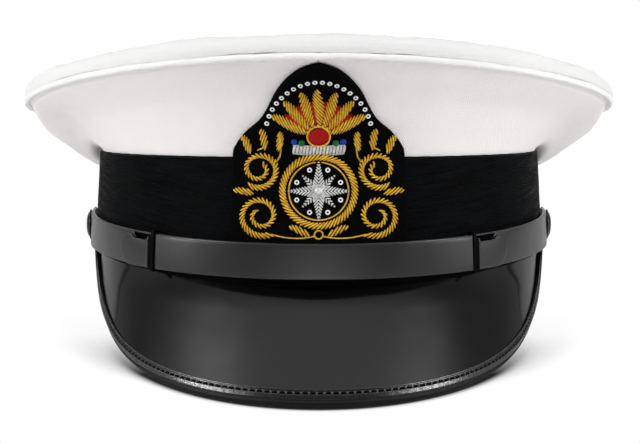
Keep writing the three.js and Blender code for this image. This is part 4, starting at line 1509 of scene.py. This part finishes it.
# %% Sections of the peak
PEAK_REACH = 49.5
PEAK_END_REACH = 5.0
PEAK_SLOPE = math.radians(49)
PEAK_HALF_TURN = math.radians(82)
PEAK_WALL = 2.2
PEAK_HOLLOW = 0.8
PEAK_INSET = 2.6
PEAK_TAPER = 0.08
PEAK_GAP = 0.35
PEAK_POWER = 4
PEAK_ROUND = 0.62
ROOT_SWEEP = 1.2
ROOT_LENGTH = 12.0
SMALL_TURN = 0.01


def peak_sections(turn):
    """Root, direction, upward normal, reach and hollow of the peak at each turn."""
    here, ahead, behind = (
        band_point(near, band_foot(near), -PEAK_INSET)
        for near in (turn, turn + SMALL_TURN, turn - SMALL_TURN)
    )
    way = np.broadcast_arrays(-PEAK_TAPER * np.sin(turn), -math.cos(PEAK_SLOPE), -math.sin(PEAK_SLOPE))
    slope = unit(np.stack(way, -1))
    normal = unit(np.cross(slope, ahead - behind))
    here[:, 2] -= PEAK_GAP + PEAK_WALL / 2 * normal[:, 2]
    share = np.maximum(1 - (np.abs(turn) / PEAK_HALF_TURN) ** PEAK_POWER, 0) ** PEAK_ROUND
    reach = PEAK_END_REACH + (PEAK_REACH - PEAK_END_REACH) * share
    return here, slope, normal, reach, PEAK_HOLLOW * share


def peak_points(sections, share, up):
    """Points at shares of the reach, raised from the middle of the peak's thickness."""
    foot, slope, normal, reach, hollow = sections
    run = reach * share
    near_root = np.clip(1 - run / ROOT_LENGTH, 0, 2)
    sweep = ROOT_SWEEP * (hollow / PEAK_HOLLOW) ** 3
    lift = up - hollow * np.sin(np.pi * np.clip(share, 0, 1)) + sweep * near_root**2
    return foot + slope * run[..., None] + normal * lift[..., None]


print("the peak reaches", round(float(peak_sections(np.zeros(1))[3][0]), 1), "mm at the front")

# %% Shape the peak
END_TURN = math.radians(3)
PEAK_COLUMNS = 170
PEAK_ROWS = 34
ROOT_TUCK = 1.8
ROOT_ROWS = 10
ROOT_SHARE = 0.2

peak_turn = np.sin(np.linspace(-1, 1, PEAK_COLUMNS) * np.pi / 2) * (PEAK_HALF_TURN + END_TURN)
sections = peak_sections(peak_turn)
root_share = np.linspace(0, ROOT_SHARE, ROOT_ROWS, endpoint=False)
row_share = np.concatenate([root_share, np.linspace(ROOT_SHARE, 1, PEAK_ROWS)])
peak_share = np.repeat(row_share[:, None], PEAK_COLUMNS, 1)
peak_share = np.concatenate([[-ROOT_TUCK / sections[3]], peak_share])
peak_upper = peak_points(sections, peak_share, np.full(peak_share.shape, PEAK_WALL / 2))
peak_lower = peak_points(sections, peak_share, np.full(peak_share.shape, -PEAK_WALL / 2))
peak_run = arc_lengths(peak_upper, 0)
peak_uv = np.stack(np.broadcast_arrays(peak_turn * BAND_HALF_LENGTH, peak_run), -1)
peak = wall("peak_shell", peak_upper, peak_lower, peak_uv, peak_patent)
fit(peak, "peak_patent", "peak")

# %% [markdown]
# ## The binding
# A strip of leather is folded over the peak's edge and sewn through. Seen from above it has an inner lip,
# a channel for the stitches, a ridge that catches the light, a groove and then the outer roll. That whole
# line is one table of points out from the edge and up from the middle. Where it rests it is pressed flat.

# %% Fold the binding over the edge
BINDING_OUTSIDE = [
    (-5.0, 1.25), (-4.92, 1.65), (-4.65, 1.82), (-4.3, 1.72), (-3.95, 1.52), (-3.3, 1.45),
    (-2.85, 1.5), (-2.55, 1.85), (-2.2, 2.14), (-1.85, 2.06), (-1.45, 1.92), (-1.05, 1.78),
    (-0.65, 1.62), (-0.4, 1.42), (-0.15, 1.25), (0.1, 1.18), (0.4, 1.2), (0.8, 1.15), (1.3, 0.8),
    (1.7, 0), (1.3, -1.5), (0.4, -2.3), (-0.9, -2.5), (-3, -2.3), (-4.6, -2.1), (-4.9, -1.35),
]
BINDING_INSIDE = [
    (-4.7, -1.28), (-0.4, -1.28), (0.32, -0.8), (0.4, 0), (0.32, 0.8), (-0.4, 1.28), (-4.7, 1.28),
]
BINDING_COLUMNS = 230
END_RISE = 2.0
BINDING_SWELL = 0.35

outside = smooth_line(BINDING_OUTSIDE, 84)
binding_line = np.concatenate([outside, np.array(BINDING_INSIDE)])
binding_turn = np.sin(np.linspace(-1, 1, BINDING_COLUMNS) * np.pi / 2) * (PEAK_HALF_TURN + END_TURN)
binding_at = peak_sections(binding_turn)


def edge_points(sections, out, up):
    """Points out past the peak's edge and up from its middle."""
    return peak_points(sections, 1 + out / sections[3], up)


fuller = 1 + BINDING_SWELL * (binding_turn / PEAK_HALF_TURN) ** 2
rise = END_RISE * np.clip((np.abs(binding_turn) - PEAK_HALF_TURN) / END_TURN, 0, 1)
rings = []
for place, (out, up) in enumerate(binding_line):
    scale = fuller if place < len(outside) else np.ones_like(fuller)
    longer = fuller if out < 0 else np.ones_like(fuller)
    rings.append(edge_points(binding_at, out * longer, up * scale))
rings = np.stack(rings, 1)
rings[..., 2] += rise[:, None]
rings = pressed(rings)
edge_run = arc_lengths(edge_points(binding_at, 0 * binding_turn, 0 * binding_turn), 0)
girth = np.append(arc_lengths(binding_line, 0), 0)
binding_uv = np.stack(np.broadcast_arrays(edge_run[:, None], girth), -1)
binding = roll("peak_binding_fold", rings, binding_uv, binding_leather, sharp=60)
fit(binding, "binding_leather", "peak_binding")

# %% [markdown]
# The stitches in the channel are evenly spaced along the edge, each a short black thread that dives into
# the leather at both ends. The tree that sewed the badge sews these as well.

# %% Sew the binding
STITCH_START = 6
STITCH_OUT = -3.3
STITCH_UP = 1.55
STITCH_PITCH = 2.7
STITCH_HALF = 1.0

edge_places = np.arange(STITCH_START, edge_run[-1] - STITCH_START, STITCH_PITCH)
stitch_turn = np.interp(edge_places, edge_run, binding_turn)
stitch_at = peak_sections(stitch_turn)
level = np.ones_like(stitch_turn)
stitch_points = edge_points(stitch_at, STITCH_OUT * level, STITCH_UP * level)
stitch_way = unit(np.gradient(stitch_points, axis=0))
binding_stitches = sew(
    "peak_binding_stitches", to_row(stitch_points), across=turned(stitch_way), up=turned(stitch_at[2]),
    half=STITCH_HALF * MM * level, radius=0.45, arch=0.15, material=thread_black,
)
fit(binding_stitches, "binding_leather")

# %% [markdown]
# ## The chin strap
# The strap lies along the front of the band between two buttons. It is doubled: a long strap below and a
# shorter one on it, which ends in a slide on each side, next to a narrow keeper. Each is a rounded bar of
# leather carried round the band, with its ends drawn in to a half round.

# %% Helpers for straps
STRAP_WIDTH = 13.0
STRAP_EDGE_ROUND = 0.42
STRAP_CROWN = 0.1
strap_height = around(9.7, 17.5, 22)
strap_stand = around(3.5, 0.5, 0.5)


def bar_section(half, thick):
    """A rounded bar in section, as points (height, depth), for an array of half widths and thicknesses."""
    half, thick = np.broadcast_arrays(np.asarray(half, float), np.asarray(thick, float))
    edge = np.minimum(STRAP_EDGE_ROUND, np.minimum(half * 0.9, thick * 0.45))
    corners = [(-1, 0, 180, 270), (1, 0, 270, 360), (1, 1, 0, 90), (-1, 1, 90, 180)]
    points = []
    for side, front, begin, end in corners:
        for angle in np.radians(np.linspace(begin, end, 5)):
            height = side * (half - edge) + edge * math.cos(angle)
            depth = np.where(front, thick - edge, edge) + edge * math.sin(angle)
            points.append(np.stack([height, depth], -1))
        if side == 1 and front == 1:
            for share in (0.75, 0.4, 0, -0.4, -0.75):
                points.append(np.stack([share * (half - edge), thick + STRAP_CROWN * (1 - share**2)], -1))
    return np.stack(points, 1)


def strap_piece(name, turn, half, stand, thick, material, lower=0.0, upper_cut=0.0):
    """A strap round the band at each turn, with its half width, stand-off and thickness there."""
    section = bar_section(half - np.asarray(upper_cut) / 2, thick)
    middle = strap_height(turn) - lower - np.asarray(upper_cut) / 2
    heights = middle[:, None] + section[..., 0]
    stands = (strap_stand(turn) + stand)[:, None] + section[..., 1]
    rings = band_point(np.broadcast_to(turn[:, None], heights.shape), heights, stands)
    along = arc_lengths(rings[:, 0], 0)
    girth = np.append(arc_lengths(section[len(turn) // 2], 0), 0)
    uv = np.stack(np.broadcast_arrays(along[:, None], girth), -1)
    return roll(name, rings, uv, material, sharp=60)


print("a strap's section has", bar_section(np.ones(1), np.ones(1)).shape[1], "points")

# %% [markdown]
# The lower strap runs from button to button. Beside each slide its upper edge is cut away, which leaves room
# for a dark slot there. Its ends are drawn in to a half round, and the same tip serves the slides later.

# %% Cut the lower strap
STRAP_UNDER = 1.3
STRAP_END = math.radians(93.5)
STRAP_COLUMNS = 300
TIP_LENGTH = 6.5
TIP_COLUMNS = 12
TIP_FROM = math.radians(4)
# Each slide's side, its keeper's middle, its inner end and its tip, in degrees round the band.
SLIDES = [("left", -41.05, -41.75, -52.3), ("right", 37.75, 38.4, 48.2)]
SLOT_DEPTH = 3.0
SLOT_FROM = 0.6
SLOT_TO = 12.5
SLOT_EASE_IN = 1.0
SLOT_EASE_OUT = 2.0

tip_angle = np.linspace(TIP_FROM, np.pi / 2, TIP_COLUMNS)
tip_in = TIP_LENGTH / BAND_HALF_LENGTH * (1 - np.cos(tip_angle))
tip_width = np.sin(tip_angle)
tip_reach = TIP_LENGTH / BAND_HALF_LENGTH
body_turn = np.linspace(-STRAP_END + tip_reach, STRAP_END - tip_reach, STRAP_COLUMNS)[1:-1]
under_turn = np.concatenate([-STRAP_END + tip_in, body_turn, (STRAP_END - tip_in)[::-1]])
under_half = STRAP_WIDTH / 2 * np.concatenate([tip_width, np.ones_like(body_turn), tip_width[::-1]])
under_cut = np.zeros_like(under_turn)
for side, keeper, inner, tip in SLIDES:
    sign = math.copysign(1, tip)
    past = (under_turn * sign - abs(math.radians(inner))) * BAND_HALF_LENGTH
    begun = np.clip((past - SLOT_FROM) / SLOT_EASE_IN, 0, 1)
    under_cut += SLOT_DEPTH * begun * np.clip((SLOT_TO - past) / SLOT_EASE_OUT, 0, 1)
under_thick = np.full_like(under_turn, STRAP_UNDER)
under_strap = strap_piece(
    "chin_strap_under", under_turn, under_half, 0, under_thick, strap_patent, upper_cut=under_cut
)
fit(under_strap, "strap_patent", "chin_strap")

# %% [markdown]
# The upper strap lies on the lower one between the two slides. The leather is folded over along the upper
# edge of both, and that fold stands up as a thin bright line, so a cord is laid along it.

# %% Cut the upper strap
STRAP_UPPER = 1.5
STRAP_GAP = 0.3
ON_TOP = STRAP_UNDER + STRAP_GAP
FRONT_FROM = math.radians(-39.4)
FRONT_TO = math.radians(36.6)
FRONT_COLUMNS = 120

front_turn = np.linspace(FRONT_FROM, FRONT_TO, FRONT_COLUMNS)
front_half = np.full_like(front_turn, STRAP_WIDTH / 2)
front_thick = np.full_like(front_turn, STRAP_UPPER)
front_strap = strap_piece("strap_front_layer", front_turn, front_half, ON_TOP, front_thick, strap_patent)
fit(front_strap, "strap_patent", "strap_front")

# %% Fold the straps' edges
EDGE_CORD = 0.42
EDGE_SUNK = 0.7
EDGE_END = math.radians(92)
EDGE_POINTS = 140

left_inner, right_inner = (math.radians(inner) for side, keeper, inner, tip in SLIDES)
edge_lines = []
for first, last, stand in (
    (-EDGE_END, left_inner, STRAP_UNDER),
    (FRONT_FROM, FRONT_TO, ON_TOP + STRAP_UPPER),
    (right_inner, EDGE_END, STRAP_UNDER),
):
    turn = np.linspace(first, last, EDGE_POINTS)
    height = strap_height(turn) + STRAP_WIDTH / 2 - EDGE_CORD
    edge_lines.append(to_row(band_point(turn, height, strap_stand(turn) + stand - EDGE_SUNK * EDGE_CORD)))
strap_edges = cords(
    "strap_folded_edges", edge_lines, closed=False, radius=EDGE_CORD, sides=8,
    unevenness=0.2, noise_scale=60, material=strap_patent,
)
fit(strap_edges, "strap_patent")

# %% [markdown]
# Each slide is a short loop of the same leather with a round end. The fold at its inner end stands up as a
# thin bright ridge, and it sits a little low, so a dark slot shows above it. It is one more bar along the
# band, so the rule for straps makes it, with a thickness that changes along its fold.

# %% Cut the slides
SLIDE_WIDTH = 11.6
SLIDE_LOWER = 0.7
SLIDE_FOLD = 0.5
SLIDE_PLAIN = 1.3
SLIDE_COLUMNS = 24
SLIDE_DIP = 1.3
DIP_FROM = 1.0
DIP_TO = 11.5
DIP_EASE_IN = 0.6
DIP_EASE_OUT = 2.0
# The fold as (distance from the slide's inner end, share of the fold's height).
FOLD = [(0, 0.5), (0.12, 0.9), (0.3, 1.0), (0.5, 0.85), (0.75, 0.35), (1.0, 0.1)]

for side, keeper, inner, tip in SLIDES:
    inner, tip = math.radians(inner), math.radians(tip)
    sign = math.copysign(1, tip)
    fold_at, fold_thick = np.array(FOLD).T
    fold = inner + sign * fold_at / BAND_HALF_LENGTH
    begin = inner + sign * SLIDE_PLAIN / BAND_HALF_LENGTH
    plain = np.linspace(begin, tip - sign * tip_reach, SLIDE_COLUMNS)[:-1]
    turn = np.concatenate([fold, plain, (tip - sign * tip_in)[::-1]])
    half = SLIDE_WIDTH / 2 * np.concatenate([np.ones(len(fold) + len(plain)), tip_width[::-1]])
    thick = STRAP_UPPER + SLIDE_FOLD * np.concatenate([fold_thick, np.zeros(len(plain) + len(tip_in))])
    past = np.abs(turn - inner) * BAND_HALF_LENGTH
    begun = np.clip((past - DIP_FROM) / DIP_EASE_IN, 0, 1)
    dip = SLIDE_DIP * begun * np.clip((DIP_TO - past) / DIP_EASE_OUT, 0, 1)
    slide = strap_piece(f"strap_slide_loop_{side}", turn, half, ON_TOP, thick, strap_patent, SLIDE_LOWER, dip)
    fit(slide, "strap_patent", f"strap_slide_{side}")

# %% [markdown]
# A keeper is a narrow band of matt leather round the strap, beside each slide. Its colour is darker than the
# strap's: painted shade for the narrow recess it sits in. It is a wall between two rounded bars, one inside
# the other, so that the strap really passes through it.

# %% Close the keepers
KEEPER_LENGTH = 1.5
KEEPER_ROOM = 0.4
KEEPER_WALL = 0.8
KEEPER_COLUMNS = 7

# The keeper's leather is painted darker than the strap's: painted shade for its recess.
keeper_leather_painted_dark = shader("matt black keeper, painted dark", (0.0015, 0.0015, 0.0018), 0.8, {"Specular IOR Level": 0.08})
raise_by(keeper_leather_painted_dark, (noise(keeper_leather_painted_dark, object_place(keeper_leather_painted_dark), 900, 3), 0.0001))
for side, keeper, inner, tip in SLIDES:
    middle = math.radians(keeper)
    reach = KEEPER_LENGTH / 2 / BAND_HALF_LENGTH
    turn = middle + np.linspace(-reach, reach, KEEPER_COLUMNS)
    outer_half = STRAP_WIDTH / 2 + KEEPER_ROOM + KEEPER_WALL
    section = bar_section(np.full_like(turn, outer_half), STRAP_UNDER + 2 * (KEEPER_ROOM + KEEPER_WALL))
    hole = bar_section(np.full_like(turn, outer_half - KEEPER_WALL), STRAP_UNDER + 2 * KEEPER_ROOM)
    skins = []
    for shape, stand in ((section, -KEEPER_ROOM - KEEPER_WALL), (hole, -KEEPER_ROOM)):
        heights = strap_height(turn)[:, None] + shape[..., 0]
        stands = strap_stand(turn)[:, None] + stand + shape[..., 1]
        skins.append(band_point(np.broadcast_to(turn[:, None], heights.shape), heights, stands))
    along = arc_lengths(skins[0], 1)
    uv = np.stack(np.broadcast_arrays(turn[:, None] * BAND_HALF_LENGTH, np.append(along[0], 0)), -1)
    loop = wall(f"strap_keeper_loop_{side}", skins[0], skins[1], uv, keeper_leather_painted_dark, wrap=True)
    fit(loop, "strap_patent", f"strap_keeper_{side}")

# %% [markdown]
# ## Side buttons
# The strap ends on two small domed buttons. A button is turned like a bowl: a table of points out from its
# axis and up from the strap, spun round, then set on the strap so that its axis points out of the band.

# %% Turn the buttons
BUTTON_TURN = 89
BUTTON_STAND = 0.3
BUTTON_ROWS = 42
BUTTON_COLUMNS = 48
BUTTON_GIRTH = 40
BUTTON_SECTION = [
    (0, -1.4), (1.4, -1.4), (1.4, -0.1), (3, 0), (5.4, 0.02), (5.9, 0.2), (6, 0.45), (5.85, 0.75),
    (5.4, 0.85), (5.1, 1.0), (4.4, 1.5), (3, 1.95), (1.5, 2.15), (0, 2.2),
]

button_line = smooth_line(BUTTON_SECTION, BUTTON_ROWS)
button_line[:, 0] = np.maximum(button_line[:, 0], 0)
button_line[[0, -1], 0] = 0
spin_turn = np.linspace(0, 2 * np.pi, BUTTON_COLUMNS, endpoint=False)
round_button = np.linspace(0, BUTTON_GIRTH, BUTTON_COLUMNS + 1)
for side, sign in (("left", -1), ("right", 1)):
    turn = np.array([sign * math.radians(BUTTON_TURN)])
    height = strap_height(turn)
    wide, long = band_half(height)
    out = unit(np.array([math.sin(turn[0]) / wide[0], -math.cos(turn[0]) / long[0], 0]))
    seat = band_point(turn, height, strap_stand(turn) + STRAP_UNDER + BUTTON_STAND)[0]
    aside = unit(np.cross([0, 0, 1], out))
    upright = np.array([0, 0, 1])
    reach, lift = button_line.T
    rings = (
        seat
        + reach[:, None, None] * (np.cos(spin_turn)[:, None] * aside + np.sin(spin_turn)[:, None] * upright)
        + lift[:, None, None] * out
    )
    uv = np.stack(np.broadcast_arrays(arc_lengths(button_line, 0)[:, None], round_button), -1)
    button = roll(f"side_button_dome_{side}", rings, uv, button_gloss, sharp=50)
    fit(button, "button_black", f"side_button_{side}")

# %% [markdown]
# ## The table
# The cap lies on a white table, drawn as cut-out photographs show it: white, but for the shade close under
# the cap. So the material asks which ray it meets. For the camera it glows, less the shade that an Ambient
# Occlusion node finds close to the cap, most of it in front. For light that bounces it is plain white. In
# the gloss it is dimmer, the more so further out, so that the patent leather keeps dark sides.

# %% Lay the table
TABLE_HALF = 6.0
TABLE_GLOW = 1.02
CONTACT_REACH = 0.044
CONTACT_DARK = 0.45
CONTACT_WHITE = 0.855
CONTACT_POWER = 2.5
SHADE_BEHIND = 0.15
SHADE_FULL_TO = -0.1
SHADE_LESS_FROM = -0.05
MIRROR_DIM_NEAR = 0.4
MIRROR_DIM_FAR = 0.76
MIRROR_NEAR = 0.2
MIRROR_FAR = 0.8

floor_mesh = bpy.data.meshes.new("floor")
floor_corners = [(x * TABLE_HALF, y * TABLE_HALF, 0) for x, y in ((-1, -1), (1, -1), (1, 1), (-1, 1))]
floor_mesh.from_pydata(floor_corners, [], [(0, 1, 2, 3)])
floor = bpy.data.objects.new("floor", floor_mesh)
bpy.context.scene.collection.objects.link(floor)
paint = shader("lit white table", (0.85, 0.85, 0.85), 0.9, {"Specular IOR Level": 0.0})
paint.node_tree.nodes["Principled BSDF"].inputs["Emission Color"].default_value = (1, 1, 1, 1)
ray_kind = add(paint, "ShaderNodeLightPath").outputs
seen = ray_kind["Is Camera Ray"]
table_place = add(paint, "ShaderNodeSeparateXYZ", {0: object_place(paint)}).outputs
nearby = add(paint, "ShaderNodeAmbientOcclusion", {"Distance": CONTACT_REACH}, samples=24).outputs["AO"]
open_sky = ramp(paint, nearby, 0, 1, CONTACT_DARK, CONTACT_WHITE)
shade = calc(paint, "SUBTRACT", 1.0, calc(paint, "POWER", open_sky, CONTACT_POWER))
shade_share = ramp(paint, table_place["Y"], 1, SHADE_BEHIND, SHADE_FULL_TO, SHADE_LESS_FROM)
glow = calc(paint, "SUBTRACT", TABLE_GLOW, calc(paint, "MULTIPLY", shade, shade_share))
feed(paint, "Emission Strength", calc(paint, "MULTIPLY", seen, glow))
aside = calc(paint, "ABSOLUTE", table_place["X"])
dim = ramp(paint, aside, MIRROR_DIM_NEAR, MIRROR_DIM_FAR, MIRROR_NEAR, MIRROR_FAR)
mirrored_dim = calc(paint, "MULTIPLY", ray_kind["Is Glossy Ray"], dim)
hidden = calc(paint, "MAXIMUM", seen, mirrored_dim)
feed(paint, "Base Color", calc(paint, "SUBTRACT", 1.0, hidden))
paint.cycles.emission_sampling = "NONE"
floor_mesh.materials.append(paint)
print("the table shades within", round(CONTACT_REACH / MM), "mm of the cap")

# %% [markdown]
# ## The lamps
# Two softbox strips stand at the sides, slanting, and are the only lamps that the gloss shows: they draw
# the bright line along the ridge of the binding. A strip's light fades towards its edges, because a hard
# edge would be mirrored too. Four large fills give the cloth its soft, even light and show in no gloss.

# %% Set up the lamps
LAMP_AIM = Vector((0, 0, 0.06))
STRIP_LENGTH = 0.9
STRIP_CORE = 0.1
STRIP_GAIN = 2.6
STRIP_SLANT = math.radians(38)
# Each lamp's name, place, size, watts and whether the gloss shows it.
LIGHTS = [
    ("left softbox", (-1.15, -0.44, 0.57), 0.3, 8.4, True),
    ("right softbox", (1.15, -0.44, 0.57), 0.3, 7.4, True),
    ("top fill", (0, 0.1, 1.5), 1.4, 12.0, False),
    ("front fill", (0, -0.9, 1.25), 1.2, 7.2, False),
    ("left fill", (-1.3, -0.3, 0.2), 0.8, 2.8, False),
    ("right fill", (1.3, -0.3, 0.2), 0.8, 3.9, False),
]


def fade_edges(lamp):
    """Lets a lamp's light fall off from its middle to its edges."""
    lamp.use_nodes = True
    spot = add(lamp, "ShaderNodeNewGeometry").outputs["Parametric"]
    spot = add(lamp, "ShaderNodeSeparateXYZ", {0: spot}).outputs
    from_middle = [calc(lamp, "ABSOLUTE", calc(lamp, "SUBTRACT", spot[axis], 0.5)) for axis in "XY"]
    fade = [ramp(lamp, share, 1, 0, STRIP_CORE, 0.5) for share in from_middle]
    strength = calc(lamp, "MULTIPLY", calc(lamp, "MULTIPLY", *fade), STRIP_GAIN)
    lamp.node_tree.links.new(strength, lamp.node_tree.nodes["Emission"].inputs["Strength"])


def soft_light(name, place, size, watts, mirrored):
    """A lamp that looks at the cap. A mirrored one is a slanting strip, the others show in no gloss."""
    lamp = bpy.data.lights.new(name, "AREA")
    lamp.shape = "RECTANGLE"
    lamp.size = STRIP_LENGTH if mirrored else size
    lamp.size_y = size
    lamp.energy = watts
    light = bpy.data.objects.new(name, lamp)
    light.location = place
    aimed = (LAMP_AIM - Vector(place)).to_track_quat("-Z", "Y")
    slant = math.copysign(STRIP_SLANT, -place[0]) if mirrored else 0.0
    light.rotation_euler = (aimed @ Quaternion((0, 0, 1), slant)).to_euler()
    light.visible_glossy = mirrored
    if mirrored:
        fade_edges(lamp)
    bpy.context.scene.collection.objects.link(light)
    return light


lamps = [soft_light(*light) for light in LIGHTS]
print("lamps", len(lamps), "with", round(sum(light.data.energy for light in lamps), 1), "watts")

# %% [markdown]
# ## The room in the gloss
# Patent leather shows what stands round it, so it needs a room. The world is that room, for the gloss alone:
# it doesn't light the cloth. Low down are walls, bright ahead and behind, darker between. High up is a grey
# sky with two windows towards the back, which make the soft streaks on the peak. Above the walls it is dark
# on the camera's side, and a little haze lies on the horizon at the sides.

# %% Paint the walls and the sky
ROOM_LEVEL = 1.25
SKY_LEVEL = 3.0
SKY_FROM = 0.3
SKY_TO = 0.7
# Greys as (place, grey): the walls by how far a direction points aside, the others from left to right.
ROOM_SHADES = [(0, 1.0), (0.2, 0.85), (0.45, 0.25), (0.8, 0.15), (0.93, 0.25), (1, 0.7)]
SKY_SHADES = [
    (-1, 0.1), (-0.85, 0.15), (-0.74, 0.21), (-0.6, 0.29), (-0.45, 0.36), (-0.3, 0.42), (0, 0.45),
    (0.3, 0.42), (0.45, 0.34), (0.6, 0.25), (0.7, 0.16), (0.78, 0.1), (1, 0.08),
]
WINDOW_SHADES = [
    (-1, 0), (-0.85, 0.04), (-0.74, 0.2), (-0.62, 0.6), (-0.52, 0.7), (-0.42, 0.3), (-0.3, 0.03),
    (0, 0), (0.3, 0.03), (0.42, 0.25), (0.52, 0.5), (0.62, 0.4), (0.7, 0.15), (0.8, 0.02), (1, 0),
]

world = bpy.data.worlds.new("studio")
bpy.context.scene.world = world
world.use_nodes = True
world.cycles_visibility.diffuse = False
way = add(world, "ShaderNodeTexCoord").outputs["Generated"]
parts = add(world, "ShaderNodeSeparateXYZ", {0: way}).outputs


def shades_of_grey(material, value, stops):
    """Greys between stops, blended smoothly."""
    shades = add(material, "ShaderNodeValToRGB", {"Fac": value})
    shades.color_ramp.interpolation = "B_SPLINE"
    while len(shades.color_ramp.elements) < len(stops):
        shades.color_ramp.elements.new(0.5)
    for stop, (place, grey) in zip(shades.color_ramp.elements, stops):
        stop.position = place
        stop.color = (grey, grey, grey, 1)
    return shades.outputs["Color"]


walls = shades_of_grey(world, calc(world, "ABSOLUTE", parts["X"]), ROOM_SHADES)
across = ramp(world, parts["X"], 0, 1, -1, 1)
sky_base, windows = (
    shades_of_grey(world, across, [((place + 1) / 2, grey) for place, grey in stops])
    for stops in (SKY_SHADES, WINDOW_SHADES)
)
print("greys of the walls, the sky and the windows:", len(ROOM_SHADES), len(SKY_SHADES), len(WINDOW_SHADES))

# %% [markdown]
# The shades are now put in their places. Each `ramp` below is a soft border: between the walls and the sky,
# between the camera's dark side and the back where the windows are, and over the haze.

# %% Put the room together
OVERHEAD_DARK = 0.12
OVERHEAD_FROM = -0.5
OVERHEAD_TO = -0.2
WINDOW_FROM = -0.14
WINDOW_TO = 0.16
FACING_DARK = 0.8
FACING_FROM = -0.7
FACING_TO = -0.4
FACING_LOW = 0.1
FACING_HIGH = 0.3
HORIZON_GLOW = 0.1
GLOW_FROM = 0.55
GLOW_TO = 0.8
GLOW_HEIGHT = 0.25

behind = ramp(world, parts["Y"], 0, 1, WINDOW_FROM, WINDOW_TO)
above = ramp(world, parts["Y"], OVERHEAD_DARK, 1, OVERHEAD_FROM, OVERHEAD_TO)
sky = calc(world, "ADD", calc(world, "MULTIPLY", sky_base, above), calc(world, "MULTIPLY", windows, behind))
high = ramp(world, parts["Z"], 0, 1, SKY_FROM, SKY_TO)
sky_part = calc(world, "MULTIPLY", calc(world, "MULTIPLY", sky, SKY_LEVEL), high)
facing = ramp(world, parts["Y"], FACING_DARK, 0, FACING_FROM, FACING_TO)
overhead = ramp(world, parts["Z"], 0, 1, FACING_LOW, FACING_HIGH)
facing_shade = calc(world, "SUBTRACT", 1.0, calc(world, "MULTIPLY", facing, overhead))
walls_part = calc(world, "MULTIPLY", walls, ROOM_LEVEL)
walls_part = calc(world, "MULTIPLY", walls_part, calc(world, "SUBTRACT", 1.0, high))
walls_part = calc(world, "MULTIPLY", walls_part, facing_shade)
beside = ramp(world, calc(world, "ABSOLUTE", parts["X"]), 0, HORIZON_GLOW, GLOW_FROM, GLOW_TO)
low = ramp(world, parts["Z"], 1, 0, 0, GLOW_HEIGHT)
haze = calc(world, "MULTIPLY", beside, calc(world, "MULTIPLY", low, low))
room = calc(world, "ADD", calc(world, "ADD", walls_part, haze), sky_part)
backdrop = world.node_tree.nodes["Background"]
backdrop.inputs["Color"].default_value = (1, 1, 1, 1)
world.node_tree.links.new(room, backdrop.inputs["Strength"])
print("room with", len(world.node_tree.nodes), "nodes")

# %% [markdown]
# ## The camera
# The camera stands straight in front, a little above the cap's own level, with a long lens. Its distance
# and aim were found by laying the solids over the view. The Standard view keeps the white table white.

# %% Set up the camera
CAMERA_DISTANCE = 1.0
CAMERA_ABOVE_CAP = math.radians(3.25)
CAMERA_AIM = np.array([0.48, 0.73, 18.06])
CAMERA_LENS = 138.7
SENSOR_WIDTH = 36.0

bpy.context.scene.view_settings.view_transform = "Standard"
bpy.context.scene.view_settings.look = "None"
bpy.context.scene.view_settings.exposure = 0.0
elevation = lean + CAMERA_ABOVE_CAP
looking = np.array([0, math.cos(elevation), -math.sin(elevation)])
lens = bpy.data.cameras.new("camera")
lens.sensor_fit = "HORIZONTAL"
lens.sensor_width = SENSOR_WIDTH
lens.lens = CAMERA_LENS
camera = bpy.data.objects.new("camera", lens)
camera.location = to_row(CAMERA_AIM) - looking * CAMERA_DISTANCE
camera.rotation_euler = Vector(looking).to_track_quat("-Z", "Y").to_euler()
bpy.context.scene.collection.objects.link(camera)
bpy.context.scene.camera = camera
print("camera at", [round(value, 3) for value in camera.location])
